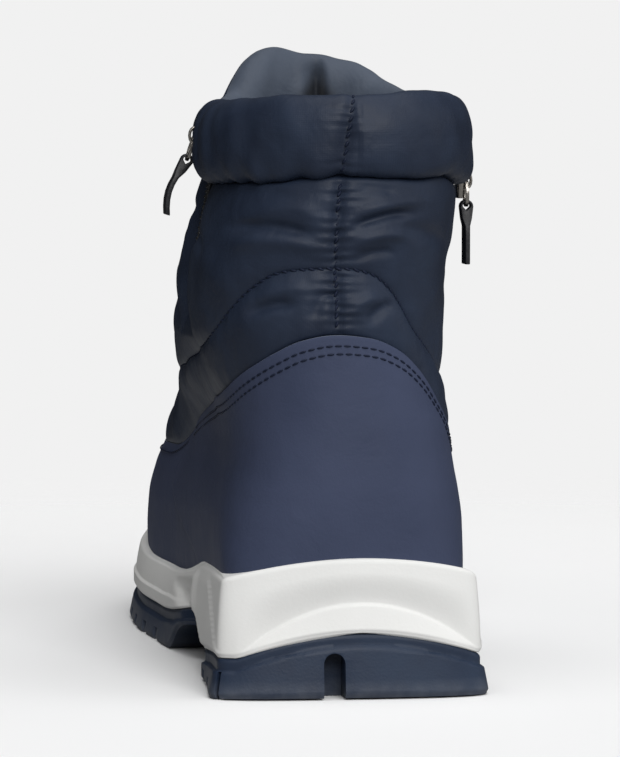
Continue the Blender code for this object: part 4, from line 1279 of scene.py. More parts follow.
@dataclass
class Collar:
    """A padded collar roll, from zip to zip round the back or the front."""

    form: BootForm
    upper: Upper
    part: CollarPart
    out: float = 0.0058
    inner: float = 0.0066
    crown: float = 2.05
    skirt: float = 3.0
    back_height: float = 0.178
    outer_rise: float = 0.0015
    outer_rise_run: float = 0.09
    outer_fall: float = 0.0032
    outer_fall_start: float = 0.10
    outer_fall_run: float = 0.17
    inner_fall: float = 0.0020
    inner_fall_run: float = 0.34
    pinch_share: float = 0.988
    pinch_depth: float = 0.0003
    pinch_top_width: float = 0.016
    pinch_width: float = 0.013
    pinch_flat: float = 0.35
    pinch_cleft: float = 0.0030
    seam_gap: float = 0.0002
    seam_depth: float = 0.0013
    seam_width: float = 0.0020
    seam_pucker: float = 0.00045
    seam_pucker_reach: float = 0.0034
    foot_gather: float = 0.008
    zip_gap: float = 0.0036
    axis_y: float = 0.035
    # Faces turned inward past this take the paler copy of the nylon, a painted highlight.
    painted_light_edge: float = 0.15
    end_swell: float = 0.0024
    round_end: float = 0.005
    wrinkle: float = 0.00055
    columns: int = 300
    rows: int = 96

    def __post_init__(self) -> None:
        """Draws the random gathers."""
        self.gathers = [Ripple(seed, length) for seed, length in ((51, 0.0075), (52, 0.012), (53, 0.020))]

    def top(self, share: Array) -> Array:
        """Height of the roll's top: nearly level at the back, rising to two humps at the front.

        Args:
            share: Places round the outline.

        Returns:
            The heights.
        """
        outer = share >= 0
        if self.part is CollarPart.BACK:
            rise = self.outer_rise * ease(share / self.outer_rise_run)
            rise = rise - self.outer_fall * ease((share - self.outer_fall_start) / self.outer_fall_run)
            fall = self.inner_fall * ease(-share / self.inner_fall_run)
            return self.back_height + np.where(outer, rise, -fall)
        sides = [Curve(FRONT_COLLAR, name)(np.abs(share)) for name in ("lateral", "medial")]
        pinch = np.exp(-((wrapped(share - self.pinch_share) / self.pinch_top_width) ** 2))
        return np.where(outer, *sides) - self.pinch_depth * pinch

    def ends(self) -> tuple[float, float]:
        """Places round the outline where the roll starts and stops.

        Returns:
            The start and the stop.
        """
        level = (self.back_height + SEAMS[0].collar) / 2
        step = self.zip_gap if self.part is CollarPart.FRONT else -self.zip_gap
        found = {}
        places = np.linspace(0, 1, 4001)
        for row in ZIPS:
            line = self.form.base(row.side * places, np.full(len(places), level))
            along = line[:, 1] + self.form.heel_centre
            found[row.side] = row.side * float(np.interp(row.along + step, along, places))
        if self.part is CollarPart.FRONT:
            return found[1], 2 + found[-1]
        return found[-1], found[1]

    def cover(self, u: Array, v: Array) -> Array:
        """Points of the roll, round its section and from end to end.

        Args:
            u: Places from the roll's start to its stop.
            v: Places round its section, from the outer side over the top.

        Returns:
            The points.
        """
        start, stop = self.ends()
        run = start + (stop - start) * u
        share = wrapped(run)
        base = self.form.collar_seam(share) + self.seam_gap
        top = self.top(share)
        level = (base + top) / 2
        middle, normal = self.form.base(share, level), self.form.normal(share, level)
        normal[:, 2] = 0
        normal /= np.linalg.norm(normal, axis=1, keepdims=True)
        turn = 2 * math.pi * v
        c, s = np.cos(turn), np.sin(turn)
        power = 2 / np.where(s >= 0, self.crown, self.skirt)
        far = np.minimum(u, 1 - u) * (stop - start) * 0.125
        shrink = np.sqrt(np.clip(1 - (1 - np.clip(far / self.round_end, 0, 1)) ** 2, 0, 1))
        full = (self.out + self.inner) / 2
        if self.part is CollarPart.BACK:
            full = full + np.where(c > 0, self.end_swell * ease((-share - 0.12) / 0.14), 0.0)
        reach = full * np.sign(c) * np.abs(c) ** power
        lift = (top - base) / 2 * np.sign(s) * np.abs(s) ** power
        round_at = girth(middle)
        height = level + lift
        gather = self.gathers[0](round_at + 0.15 * height) * np.exp(-(height - base) / self.foot_gather)
        gather += 0.7 * self.gathers[1](round_at - 0.35 * height)
        gather += 0.8 * self.gathers[2](round_at * 0.6 + 1.0 * height)
        swell = self.wrinkle * gather
        if self.part is CollarPart.BACK:
            off = middle[:, 0] - self.upper.seam_x(height)
            at_back = ease(-normal[:, 1] * 2)
            swell -= self.seam_depth * np.exp(-((off / self.seam_width) ** 2)) * at_back
            pucker = self.upper.seam_gathers[0](height + 0.02 * np.sign(off))
            swell += self.seam_pucker * pucker * np.exp(-np.abs(off) / self.seam_pucker_reach) * at_back
        else:
            pinch = np.exp(-((wrapped(share - self.pinch_share) / self.pinch_width) ** 2))
            reach = reach * (1 - self.pinch_flat * pinch)
            swell -= self.pinch_cleft * pinch * (c < 0.3) * (1 - ease((s - 0.55) / 0.4))
        reach = reach + swell * np.where(c >= 0, 1, -1) * np.abs(c) ** 0.5
        lift = lift + swell * s * 0.6
        shift = (self.out - self.inner) / 2
        point = middle + normal * (shift + reach * shrink)[:, None]
        point[:, 2] = level + lift * (0.25 + 0.75 * shrink) * np.where(far <= 0, 0.0, 1.0)
        return point

    def build(self, wardrobe: Wardrobe) -> None:
        """Makes the roll in place of the plain one.

        Args:
            wardrobe: The finishes.
        """
        piece = grid_piece(f"{self.part.value}_cloth", self.columns, self.rows, self.cover, (0.16, 0.07))
        settle(piece, wardrobe.nylon)
        if self.part is CollarPart.FRONT:
            # The inward faces get the paler copy of the nylon: a painted highlight, with its wedge of painted
            # shade.
            piece.data.materials.append(wardrobe.facing)
            for face in piece.data.polygons:
                spot = face.center
                inward = Vector((spot.x, spot.y - self.axis_y, 0.0))
                if face.normal.dot(inward.normalized()) < self.painted_light_edge:
                    face.material_index = 1
        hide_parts(self.part.value)


@dataclass
class Panels:
    """The two smooth coated panels: the heel counter, and the guard round the forefoot under its edge."""

    form: BootForm
    upper: Upper
    thickness: float = 0.0013
    counter_out: float = 0.0023
    guard_out: float = 0.0014
    counter_end: float = 0.440
    counter_slant: float = 0.150
    counter_corner: float = 0.035
    overlap: float = 0.075
    below_rim: float = 0.002
    wave: float = 0.00025
    edge_round: float = 0.0004
    rows: int = 60

    def counter_reach(self, v: Array) -> Array:
        """Where the counter's front edge stands, from its foot to its top."""
        corner = np.clip((v - 0.86) / 0.14, 0, 1)
        return self.counter_end + self.counter_slant * ease(v / 0.7) - self.counter_corner * corner ** 2

    def counter(self, u: Array, v: Array) -> Array:
        """Points of the counter's outer face."""
        share = (2 * u - 1) * self.counter_reach(v)
        return self.surface(share, v, self.counter_out)

    def guard(self, u: Array, v: Array) -> Array:
        """Points of the guard's outer face, tucked under the counter at both ends."""
        start = self.counter_reach(v) - self.overlap
        share = start + (2 - 2 * start) * u
        return self.surface(share, v, self.guard_out)

    def surface(self, share: Array, v: Array, out: float) -> Array:
        """Points over the upper, from the midsole's rim to the panels' top edge.

        Args:
            share: Places round the outline.
            v: Places from the foot of the panel to its top.
            out: Distance out from the upper's base form.

        Returns:
            The points.
        """
        foot = self.form.level_at(share, self.form.rim_at(share) - self.below_rim)
        level = foot + (self.upper.panel(share) - foot) * v
        wave = Ripple(61, 0.045)(share * 0.2 + level) * self.wave
        near = self.form.base(share, level)
        return near + self.form.normal(share, level) * (out + wave)[:, None]

    def build(self, wardrobe: Wardrobe) -> None:
        """Makes both panels in place of the plain ones.

        Args:
            wardrobe: The finishes.
        """
        for name, node, columns, shape in (
            ("counter_leather", "heel_counter", 200, self.counter),
            ("guard_leather", "toe_guard", 300, self.guard),
        ):
            piece = grid_piece(name, columns, self.rows, shape, (0.26, 0.07))
            piece.data.materials.append(wardrobe.leather)
            # The rim faces take the cut-edge colour: pale fibre, and a painted highlight along the edge.
            piece.data.materials.append(wardrobe.cut_edge_and_painted_highlight)
            wall = piece.modifiers.new("wall", "SOLIDIFY")
            wall.thickness = self.thickness
            wall.offset = -1.0
            wall.material_offset_rim = 1
            soften(piece, self.edge_round, 2, 50.0)
            bpy.ops.object.shade_smooth_by_angle(angle=math.radians(60))
            settle(piece, wardrobe.leather)
            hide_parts(node)


@dataclass
class Sole:
    """The moulded foam midsole and the rubber outsole with its lugs."""

    form: BootForm
    gap: float = 0.0003
    side_step: float = 0.0009
    heel_inset: float = 0.0020
    crescent_full: float = 0.0045
    band_corner: float = 0.003
    band_slant: float = 1.9
    band_height: float = 0.0007
    lip: float = 0.0037
    flare: float = 0.0026
    heel_side_flare: float = 0.0010
    rib_along: float = 0.0765
    rib_width: float = 0.0036
    rib_height: float = 0.0013
    lug_depth: float = 0.0042
    groove_width: float = 0.0050
    groove_rib: float = 0.0050
    groove_skew: float = math.radians(14)
    grooves: tuple[float, ...] = (0.027, 0.045, 0.152, 0.170, 0.188, 0.206, 0.224, 0.242)
    notch_offset: float = -0.0083
    notch_width: float = 0.0064
    notch_top: float = 0.0138
    notch_depth: float = 0.0085
    slot_width: float = 0.0014
    slot_depth: float = 0.0022
    slot_top: float = 0.0082
    slot_along: float = 0.0042
    slot_out: float = 0.0420
    edge_round: float = 0.0005
    rim_round: float = 0.0009
    rim_lean: float = 0.0016
    foot_tuck: float = 0.0006
    ledge: float = 0.0028
    ledge_inside: float = 0.0009
    tread_round: float = 0.0009
    lip_round: float = 0.0006
    columns: int = 360

    def midsole_skin(self, u: Array, v: Array) -> Array:
        """Points of the midsole's skin: from below, up the side, over the rim and down to the seat.

        Args:
            u: Places across the grid, round the outline from the toe.
            v: Places along the skin.

        Returns:
            The points.
        """
        form = self.form
        share = 2 * u - 1
        edge = form.sole_edge(share)
        x, along = edge[:, 0], edge[:, 1]
        foot, crease, rim = form.joint(x, along) + self.gap, form.crease(x, along), form.rim_at(share)
        bottom, up = np.clip(v / 0.06, 0, 1)[:, None], np.clip((v - 0.06) / 0.76, 0, 1)
        z = foot + (rim - foot) * up
        below = 1 - ease((z - crease) / 0.0009 + 0.5)
        tall = np.clip((z - crease) / np.maximum(rim - crease, 1e-4), 0, 1)
        sunk = np.clip((crease - z) / np.maximum(crease - foot, 1e-4), 0, 1)
        heel = 1 - ease((along - 0.060) / 0.030)
        crescent = ease((crease - foot) / self.crescent_full)
        slope = self.side_step * crescent - self.heel_inset * heel * crescent * (1 - sunk)
        hollow = self.heel_inset * heel * crescent * (1 - ease(tall / 0.7))
        out = slope * below - (hollow + self.rim_lean * tall ** 1.6) * (1 - below)
        past_line = along - self.band_corner - (z - foot) * self.band_slant
        on_side = ease((along - 0.004) / 0.008) * (1 - ease((along - 0.070) / 0.020))
        held = ease((rim - z) / 0.005) * ease((z - foot) / 0.002)
        out = out + self.band_height * ease(past_line / 0.0024 + 0.5) * on_side * held
        draw = np.where(below > 0.5, 1.0, np.clip(1.0 - ease((tall - 0.25) / 0.6), 0, 1))
        rib = self.rib_height * np.exp(-(((along - self.rib_along) / self.rib_width) ** 2))
        out = out + rib * ease(tall * 4 + 0.3) * ease((1 - tall) * 5)
        out = out - self.foot_tuck * (1 - ease(up * 18))
        near_rim = np.clip((up - 0.94) / 0.06, 0, 1)
        round_rim = self.rim_round * (1 - np.sqrt(np.clip(1 - near_rim ** 2, 0, 1)))
        side = form.sole_point(share, out - round_rim, z, draw)
        over = np.clip((v - 0.82) / 0.18, 0, 1)
        level = form.level_at(share, rim)
        wall, outward = form.base(share, level), form.normal(share, level)
        ledge, inside = (wall + outward * far for far in (self.ledge, self.ledge_inside))
        ledge[:, 2] = rim
        inside[:, 2] = rim
        seat = form.base(share, np.full(len(u), form.seat_level))
        seat[:, 2] = form.sole["seat"](seat[:, 1] + form.heel_centre)
        middle, floor = seat.copy(), np.stack([0 * x, along - form.heel_centre, foot], axis=-1)
        middle[:, 0] = 0
        floor[:, 2] = form.joint(0 * x, along) + self.gap
        stages = [np.clip(over * 4 - k, 0, 1)[:, None] for k in range(4)]
        skin = np.where(bottom < 1, floor * (1 - bottom) + side * bottom, side)
        for stage, goal in zip(stages, (ledge, inside, seat, middle)):
            skin = skin * (1 - stage) + goal * stage
        return skin

    def outsole_skin(self, u: Array, v: Array) -> Array:
        """Points of the outsole's skin: from the middle of the tread, up the flared side, to the joint.

        Args:
            u: Places across the grid, round the outline from the toe.
            v: Places along the skin.

        Returns:
            The points.
        """
        form = self.form
        share = 2 * u - 1
        edge = form.sole_edge(share)
        x, along = edge[:, 0], edge[:, 1]
        joint, ground = form.joint(x, along), form.sole["ground"](along)
        tread, cover = np.clip(v / 0.2, 0, 1)[:, None], np.clip((v - 0.8) / 0.2, 0, 1)[:, None]
        z = ground + (joint - ground) * np.clip((v - 0.2) / 0.6, 0, 1)
        step = joint - self.lip
        over = ease((z - step) / 0.0007 + 0.5)
        run = np.clip((z - ground) / np.maximum(step - ground, 1e-4), 0, 1)
        on_side = ease((along - 0.004) / 0.030) * (1 - ease((along - 0.110) / 0.030))
        flare = self.flare + (self.heel_side_flare - self.flare) * on_side
        out = (flare + (self.side_step - flare) * run) * (1 - over) - self.gap * over
        foot_round = self.tread_round * (1 - ease(np.clip((z - ground) / 0.0016, 0, 1)))
        top_round = self.lip_round * ease((z - joint) / 0.0008 + 1)
        side = form.sole_point(share, out - foot_round - top_round, z)
        middle = np.stack([0 * x, along - form.heel_centre, ground], axis=-1)
        upper = np.stack([0 * x, along - form.heel_centre, form.joint(0 * x, along)], axis=-1)
        return np.where(tread < 1, middle * (1 - tread) + side * tread, side * (1 - cover) + upper * cover)

    def cutters(self) -> list[bpy.types.Object]:
        """Blocks for the spaces between the lugs, the notch at the back and the slots at the corners.

        Returns:
            The blocks, to be cut away one by one.
        """
        blocks = []
        reach = self.form.ball_width
        for along in self.grooves:
            ground = float(self.form.sole["ground"](np.array([along]))[0])
            for side in (-1, 1):
                size = (reach, self.groove_width, 2 * self.lug_depth)
                centre = (side * (self.groove_rib + reach / 2), along - self.form.heel_centre, ground)
                blocks.append(self.block(centre, size, side * self.groove_skew))
        for side in (-1, 1):
            size = (self.slot_width, 4 * self.slot_depth, 2 * self.slot_top)
            centre = (side * self.slot_out, self.slot_along - self.form.heel_centre, 0.0)
            blocks.append(self.block(centre, size, side * math.pi / 4))
        deselect()
        bpy.ops.mesh.primitive_cylinder_add(
            vertices=32, radius=self.notch_width / 2, depth=2 * self.notch_depth,
            location=(self.notch_offset, -self.form.heel_centre, self.notch_top - self.notch_width / 2),
            rotation=(math.pi / 2, 0, 0))
        blocks.append(bpy.context.object)
        size = (self.notch_width, 2 * self.notch_depth, 2 * (self.notch_top - self.notch_width / 2))
        blocks.append(self.block((self.notch_offset, -self.form.heel_centre, 0.0), size, 0.0))
        return blocks

    @staticmethod
    def block(centre: tuple[float, float, float], size: tuple[float, float, float],
              turn: float) -> bpy.types.Object:
        """A cutting block turned about the vertical.

        Args:
            centre: Its middle.
            size: Its width, depth and height.
            turn: Its turn, in radians.

        Returns:
            The block.
        """
        deselect()
        bpy.ops.mesh.primitive_cube_add(size=1.0, location=centre, rotation=(0, 0, turn), scale=size)
        bpy.ops.object.transform_apply(location=True, rotation=True, scale=True)
        return bpy.context.object

    def build(self, wardrobe: Wardrobe) -> None:
        """Makes both layers in place of the plain ones.

        Args:
            wardrobe: The finishes.
        """
        midsole = grid_piece("midsole_foam", self.columns, 100, self.midsole_skin, (0.70, 0.10))
        settle(midsole, wardrobe.foam)
        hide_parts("midsole")

        outsole = grid_piece("outsole_rubber", 240, 40, self.outsole_skin, (0.72, 0.10))
        for block in self.cutters():
            cut = outsole.modifiers.new("cut", "BOOLEAN")
            cut.operation = "DIFFERENCE"
            cut.solver = "EXACT"
            cut.object = block
            apply_modifiers(outsole)
            bpy.data.objects.remove(block)
        soften(outsole, self.edge_round, 2, 50.0)
        bpy.ops.object.shade_smooth_by_angle(angle=math.radians(45))
        settle(outsole, wardrobe.rubber)
        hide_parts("outsole")


@dataclass
class Footbed:
    """The felt insole, with rounded edges."""

    edge: float = 0.0008

    def build(self, wardrobe: Wardrobe) -> None:
        """Makes a softened copy of the plain insole.

        Args:
            wardrobe: The finishes.
        """
        piece = frame_copy("insole", "insole_felt")
        soften(piece, self.edge, 3, 40.0)
        bpy.ops.object.shade_smooth_by_angle(angle=math.radians(50))
        settle(piece, wardrobe.felt)
        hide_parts("insole")


@dataclass
class SideZips:
    """The two closed side zips: tape, teeth, sliders, wire pulls and strap tabs."""

    form: BootForm
    half_width: float = 0.0036
    bottom: float = 0.112
    top: float = 0.1735
    pitch: float = 0.0016
    tooth: tuple[float, float, float] = (0.0011, 0.0026, 0.0009)
    tooth_round: float = 0.00022
    tooth_out: float = 0.0013
    tooth_stagger: float = 0.0007
    tape_out: float = 0.0009
    tape_crown: float = 0.0004
    tape_thickness: float = 0.0006
    collar_foot: float = 0.1570
    collar_step: float = 0.006
    collar_swell: float = 0.0040
    slider_round: float = 0.00030
    strap_round: float = 0.00028
    strap_drop: float = 0.0093
    strap_length: float = 0.0165
    strap_bow: float = 0.0024

    def spot(self, row: ZipRow, along: Array, height: Array, out: float) -> Array:
        """Points over the flat side of the shaft, moved out from its base form.

        Args:
            row: The zip.
            along: Distances from the back of the heel.
            height: Heights.
            out: How far the points are moved out.

        Returns:
            The points.
        """
        places = np.linspace(0.2, 0.8, 2401)
        points = []
        for a, z in zip(along, height):
            line = self.form.base(row.side * places, np.full(len(places), z))
            share = row.side * np.interp(a - self.form.heel_centre, line[:, 1], places)
            points.append(self.form.base(np.array([share]), np.array([z]))[0])
        return np.array(points) + np.array([row.side * out, 0, 0])

    def swell(self, row: ZipRow, z: Array) -> Array:
        """How far the outer zip stands out over the collar roll, at each height."""
        return self.collar_swell * ease((z - self.collar_foot) / self.collar_step) * (row.side > 0)

    def build(self, wardrobe: Wardrobe) -> None:
        """Makes both zips in place of the plain ones.

        Args:
            wardrobe: The finishes.
        """
        for row in ZIPS:
            self.tape(row, wardrobe)
            self.teeth(row, wardrobe)
            body = f"{row.name}_pull"
            self.refined(f"slider_{row.name}", "slider", self.slider_round, wardrobe.metal, BODY)
            self.refined(f"pull_{row.name}", "wire", 0.0, wardrobe.metal, body)
            strap = self.refined(f"tab_{row.name}", "strap", self.strap_round, wardrobe.strap, body)
            if row.side > 0:
                self.hang(strap, row)

    def hang(self, strap: bpy.types.Object, row: ZipRow) -> None:
        """Takes the bow out of a strap, so that it hangs straight down from its wire.

        Args:
            strap: The strap.
            row: Its zip.
        """
        top = row.slider - self.strap_drop
        for vertex in strap.data.vertices:
            share = min(max((top - vertex.co.z) / self.strap_length, 0.0), 1.0)
            vertex.co.x -= row.side * self.strap_bow * math.sin(0.9 * math.pi * share)

    def tape(self, row: ZipRow, wardrobe: Wardrobe) -> None:
        """Makes the woven tape on both sides of the teeth, a little raised towards them.

        Args:
            row: The zip.
            wardrobe: The finishes.
        """
        length = self.top - self.bottom
        steps = np.linspace(0, 1, 41)
        middle = self.spot(row, np.full(len(steps), row.along), self.bottom + length * steps, 0.0)

        def shape(u: Array, v: Array) -> Array:
            """Points of the tape, for places across and up it."""
            centre = np.stack([np.interp(v, steps, middle[:, k]) for k in range(3)], axis=-1)
            across = 2 * u - 1
            crown = self.tape_out + self.tape_crown * np.exp(-((across / 0.4) ** 2))
            crown = crown + self.swell(row, self.bottom + length * v)
            return centre + np.stack([row.side * crown, across * self.half_width, 0 * u], axis=-1)

        piece = grid_piece(f"zip_tape_{row.name}", 24, 120, shape, (2 * self.half_width, length))
        wall = piece.modifiers.new("wall", "SOLIDIFY")
        wall.thickness = self.tape_thickness
        wall.offset = 0.0
        apply_modifiers(piece)
        settle(piece, wardrobe.tape)
        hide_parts(f"zip_{row.name}")

    def teeth(self, row: ZipRow, wardrobe: Wardrobe) -> None:
        """Makes the interlocked teeth, one modelled and repeated up the zip.

        Args:
            row: The zip.
            wardrobe: The finishes.
        """
        deselect()
        bpy.ops.mesh.primitive_cube_add(size=1.0)
        tooth = bpy.context.object
        tooth.scale = self.tooth
        bpy.ops.object.transform_apply(scale=True)
        soft = tooth.modifiers.new("soft edge", "BEVEL")
        soft.width = self.tooth_round
        soft.segments = 1
        apply_modifiers(tooth)
        count = int((self.top - self.bottom) / self.pitch)
        heights = self.bottom + self.pitch * (np.arange(count) + 0.5)
        points = self.spot(row, np.full(count, row.along), heights, self.tooth_out)
        points[:, 0] += row.side * self.swell(row, heights)
        points[::2, 1] -= self.tooth_stagger
        points[1::2, 1] += self.tooth_stagger
        places = [Matrix.Translation(Vector(point)) for point in points]
        piece = repeat_piece(f"zip_teeth_{row.name}", tooth, places)
        settle(piece, wardrobe.teeth)

    def refined(self, node: str, kind: str, edge: float, material: bpy.types.Material,
                body: str) -> bpy.types.Object:
        """A rounded copy of a small plain part.

        Args:
            node: The frame's node.
            kind: What the copy is called.
            edge: Width of its rounded edges, or 0 where it is round already.
            material: Its finish.
            body: The body that it moves with.

        Returns:
            The copy, in place of the node.
        """
        piece = frame_copy(node, f"{kind}_{node.split('_')[1]}_fine")
        if edge:
            soften(piece, edge, 2, 35.0)
        else:
            fine = piece.modifiers.new("fine", "SUBSURF")
            fine.levels = fine.render_levels = 1
            apply_modifiers(piece)
        bpy.ops.object.shade_smooth_by_angle(angle=math.radians(45))
        settle(piece, material, body)
        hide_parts(node)
        return piece


@dataclass
class Stitching:
    """Rows of thread: one stitch modelled, then repeated along every sewn line."""

    form: BootForm
    upper: Upper
    panels: Panels
    pitch: float = 0.0027
    length: float = 0.0022
    thick: float = 0.00034
    slant: float = 0.0005
    slanted_thick: float = 1.35
    arc_lift: float = 0.0006
    cloth_lift: float = 0.00015
    leather_lift: float = 0.00012
    counter_rows: tuple[float, float] = (0.0032, 0.0056)
    guard_row: float = 0.0030
    guard_gap: float = 0.004
    vamp_half: float = 0.12
    seam_foot: float = 0.1088
    seam_top: float = 0.1520

    def row(self, name: str, points: Array, wardrobe: Wardrobe, slot: str, slant: float = 0.0) -> None:
        """Sews one row of stitches along a line of points.

        Args:
            name: Name of the row.
            points: Points of the line, close together.
            wardrobe: The finishes.
            slot: Name of the material of what is sewn; not used.
            slant: How far each stitch's ends stand off the line; such stitches are of thicker thread.
        """
        thick = self.thick * (self.slanted_thick if slant else 1.0)
        steps = np.concatenate([[0.0], np.cumsum(np.linalg.norm(np.diff(points, axis=0), axis=1))])
        count = max(2, int(steps[-1] / self.pitch))
        middles = (np.arange(count) + 0.5) * steps[-1] / count

        def at(distance: Array) -> Array:
            """Points at distances along the line."""
            return np.stack([np.interp(distance, steps, points[:, k]) for k in range(3)], axis=-1)

        deselect()
        bpy.ops.mesh.primitive_uv_sphere_add(
            segments=6, ring_count=5, radius=1.0, rotation=(0, math.pi / 2, 0))
        stitch = bpy.context.object
        bpy.ops.object.transform_apply(rotation=True)
        stitch.scale = (self.length / 2, thick, thick)
        bpy.ops.object.transform_apply(scale=True)
        places = []
        for a, b in zip(at(middles - self.length / 2), at(middles + self.length / 2)):
            outward = Vector((a[0], a[1] - SHAFT_MIDDLE, 0.0)).normalized()
            across = Vector(b - a).normalized().cross(outward) * slant
            run = Vector(b - a) + 2 * across
            turn = run.to_track_quat("X", "Z").to_matrix().to_4x4()
            places.append(Matrix.Translation(Vector((a + b) / 2)) @ turn)
        piece = repeat_piece(name, stitch, places)
        settle(piece, wardrobe.thread)

    def build(self, wardrobe: Wardrobe) -> None:
        """Sews every row.

        Args:
            wardrobe: The finishes.
        """
        around = np.linspace(-1, 1, 1601)
        quilt = self.on_cloth(around, self.upper.quilt(around), self.arc_lift)
        self.row("thread_quilt", quilt, wardrobe, "quilted_nylon", self.slant)
        for k in (1, 2):
            part = np.linspace(1 - self.vamp_half, 1 + self.vamp_half, 400)
            level = self.upper.panel(part) + (self.upper.quilt(part) - self.upper.panel(part)) * k / 3
            points = self.on_cloth(part, level, self.cloth_lift)
            self.row(f"thread_vamp_{k}", points, wardrobe, "quilted_nylon")
        panels = self.panels
        reach = panels.counter_end + panels.counter_slant - panels.counter_corner
        back = np.linspace(-reach, reach, 1200)
        for k, inset in enumerate(self.counter_rows):
            points = self.on_panel(back, inset, panels.counter_out)
            self.row(f"thread_counter_{k}", points, wardrobe, "coated_leather")
        front = np.linspace(reach + self.guard_gap, 2 - reach - self.guard_gap, 1200)
        points = self.on_panel(front, self.guard_row, panels.guard_out)
        self.row("thread_guard", points, wardrobe, "coated_leather")
        self.back_seam(wardrobe)
        self.collar_seam(wardrobe)

    def on_cloth(self, share: Array, level: Array, lift: float) -> Array:
        """Points just over the padded cloth."""
        return self.upper.skin(share, level) + self.form.normal(share, level) * lift

    def on_panel(self, share: Array, inset: float, out: float) -> Array:
        """Points just over a panel that stands out by a distance, an inset below its top edge."""
        level = self.upper.panel(share) - inset
        return self.form.base(share, level) + self.form.normal(share, level) * (out + self.leather_lift)

    def back_seam(self, wardrobe: Wardrobe) -> None:
        """Sews the stitches down the back seam.

        Args:
            wardrobe: The finishes.
        """
        level = np.linspace(self.seam_foot, self.seam_top, 300)
        share = np.zeros(len(level))
        for _ in range(12):
            share = share + (self.upper.seam_x(level) - self.form.base(share, level)[:, 0]) * 2.0
        points = self.on_cloth(share, level, self.cloth_lift)
        self.row("thread_back_seam", points, wardrobe, "quilted_nylon", self.slant)

    def collar_seam(self, wardrobe: Wardrobe) -> None:
        """Sews the stitches up the back of the collar roll.

        Args:
            wardrobe: The finishes.
        """
        collar = Collar(self.form, self.upper, CollarPart.BACK)
        start, stop = collar.ends()
        turn = np.linspace(-0.20, 0.27, 300) % 1.0
        across = np.full(len(turn), -start / (stop - start))
        for _ in range(12):
            points = collar.cover(across, turn)
            across = across + (self.upper.seam_x(points[:, 2]) - points[:, 0]) * 3.0
        points = collar.cover(across, turn)
        points = points + np.array([0.0, -0.0002, 0.0001])
        self.row("thread_collar_seam", points, wardrobe, "quilted_nylon", self.slant)


class LampRow(NamedTuple):
    """One wide, distant soft light: where it comes from, how many degrees wide it looks, and its strength."""

    name: str
    place: tuple[float, float, float]
    spread: float
    power: float


LAMPS = (
    LampRow("key", (0.10, -1.0, 0.62), 35.0, 2.20),
    LampRow("top", (0.05, -0.15, 1.0), 50.0, 1.32),
    LampRow("fill", (-1.0, -0.5, 0.35), 60.0, 0.26),
    LampRow("rim", (1.0, -0.25, 0.30), 50.0, 0.48),
)


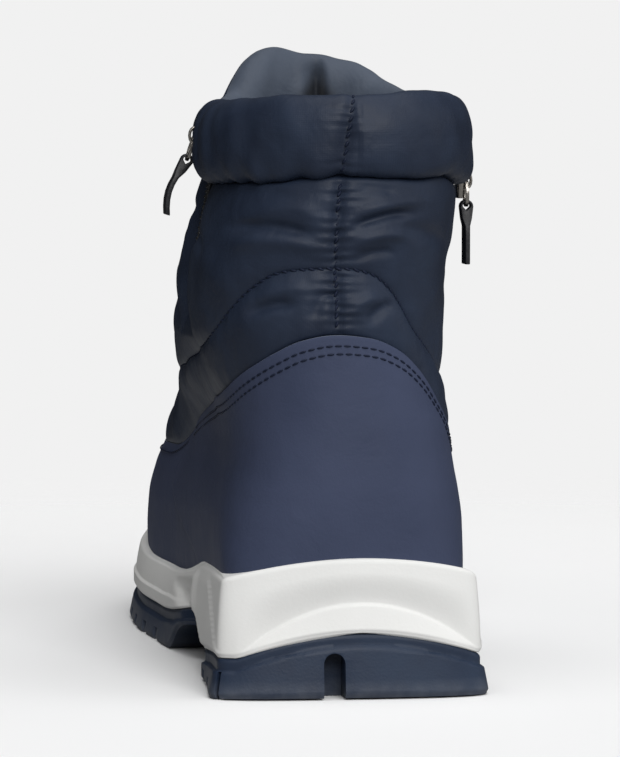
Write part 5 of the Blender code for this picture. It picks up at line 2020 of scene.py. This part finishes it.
@dataclass
class Studio:
    """The pale floor, the soft lights and the camera."""

    eye: tuple[float, float, float] = (-0.1828, -1.3288, 0.1785)
    target: tuple[float, float, float] = (-0.0076, 0.0208, 0.0909)
    pixels: float = 4446.0
    image_height: float = 757.0
    sensor: float = 36.0
    floor_size: float = 4.0
    paper_near: float = 0.30
    paper_far: float = 0.75
    room_light: float = 0.42
    room_left: float = 0.35
    room_right: float = 1.25
    room_far: float = 0.09
    room_colour: str = "f4f5f7"
    backdrop: str = "f1f1f1"

    def build(self) -> None:
        """Sets the stage."""
        bpy.context.scene.view_settings.view_transform = "Standard"
        deselect()
        bpy.ops.mesh.primitive_grid_add(x_subdivisions=8, y_subdivisions=8, size=self.floor_size)
        floor = bpy.context.object
        floor.name = "studio_floor"
        floor.data.materials.append(self.paper())
        self.room()
        for row in LAMPS:
            self.lamp(row)
        self.camera()

    def room(self) -> None:
        """The soft light all round, brightest on the near, right and upper sides, and the even backdrop."""
        world = bpy.data.worlds.new("soft_room")
        world.use_nodes = True
        tree = world.node_tree
        way = add_node(tree, "ShaderNodeTexCoord", {})
        axes = add_node(tree, "ShaderNodeSeparateXYZ", {0: (way, "Generated")})
        front = add_node(tree, "ShaderNodeMapRange", {
            "Value": (axes, "Y"), "From Min": 0.5, "From Max": -0.9, "To Min": self.room_far, "To Max": 1.0})
        above = add_node(tree, "ShaderNodeMapRange", {
            "Value": (axes, "Z"), "From Min": 0.3, "From Max": 1.0, "To Min": 0.0, "To Max": 1.0})
        most = add_node(tree, "ShaderNodeMath", {
            0: (front, "Result"), 1: (above, "Result")}, operation="MAXIMUM")
        side = add_node(tree, "ShaderNodeMapRange", {
            "Value": (axes, "X"), "From Min": -0.8, "From Max": 0.8,
            "To Min": self.room_left * self.room_light, "To Max": self.room_right * self.room_light})
        level = add_node(tree, "ShaderNodeMath", {
            0: (most, "Value"), 1: (side, "Result")}, operation="MULTIPLY")
        room = add_node(tree, "ShaderNodeBackground", {
            "Color": linear(self.room_colour), "Strength": (level, "Value")})
        backdrop = add_node(tree, "ShaderNodeBackground", {"Color": linear(self.backdrop), "Strength": 1.0})
        ray = add_node(tree, "ShaderNodeLightPath", {})
        both = add_node(tree, "ShaderNodeMixShader", {
            0: (ray, "Is Camera Ray"), 1: (room, "Background"), 2: (backdrop, "Background")})
        tree.links.new(both.outputs["Shader"], tree.nodes["World Output"].inputs["Surface"])
        bpy.context.scene.world = world

    def camera(self) -> None:
        """The camera behind the boot, at the photo's angle."""
        data = bpy.data.cameras.new("photo_view")
        data.sensor_width = self.sensor
        data.lens = self.sensor * self.pixels / self.image_height
        data.clip_end = 100.0
        camera = bpy.data.objects.new("photo_view", data)
        bpy.context.scene.collection.objects.link(camera)
        camera.location = self.eye
        aim = Vector(self.target) - Vector(self.eye)
        camera.rotation_euler = aim.to_track_quat("-Z", "Y").to_euler()
        bpy.context.scene.camera = camera

    def paper(self) -> bpy.types.Material:
        """Seamless white paper that thins out to the backdrop away from the boot.

        Returns:
            The material.
        """
        material = PaperFinish("seamless_paper", "eeeeee", "f0f0f0", 0.9, 0.05, mottle=0.4, grain=0.0).make()
        tree = material.node_tree
        spot = add_node(tree, "ShaderNodeTexCoord", {})
        far = add_node(tree, "ShaderNodeVectorMath", {0: (spot, "Object")}, operation="LENGTH")
        faded = add_node(tree, "ShaderNodeMapRange", {
            "Value": (far, "Value"), "From Min": self.paper_near, "From Max": self.paper_far,
            "To Min": 1.0, "To Max": 0.0}, interpolation_type="SMOOTHSTEP")
        tree.links.new(faded.outputs["Result"], tree.nodes["Principled BSDF"].inputs["Alpha"])
        return material

    @staticmethod
    def lamp(row: LampRow) -> None:
        """Hangs one soft light."""
        data = bpy.data.lights.new(row.name, "SUN")
        data.angle = math.radians(row.spread)
        data.energy = row.power
        lamp = bpy.data.objects.new(row.name, data)
        bpy.context.scene.collection.objects.link(lamp)
        lamp.location = row.place
        lamp.rotation_euler = (-Vector(row.place)).to_track_quat("-Z", "Y").to_euler()


def main() -> None:
    """Builds and dresses the boot."""
    logging.basicConfig(level=logging.INFO, format="%(name)s %(message)s")
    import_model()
    Studio().build()
    form = BootForm()
    wardrobe = Wardrobe()
    upper = Upper(form)
    panels = Panels(form, upper)
    upper.build(wardrobe)
    Lining(form).build(wardrobe)
    for part in CollarPart:
        Collar(form, upper, part).build(wardrobe)
    panels.build(wardrobe)
    Sole(form).build(wardrobe)
    Footbed().build(wardrobe)
    SideZips(form).build(wardrobe)
    Stitching(form, upper, panels).build(wardrobe)
    deselect()


if __name__ == "__main__":
    main()
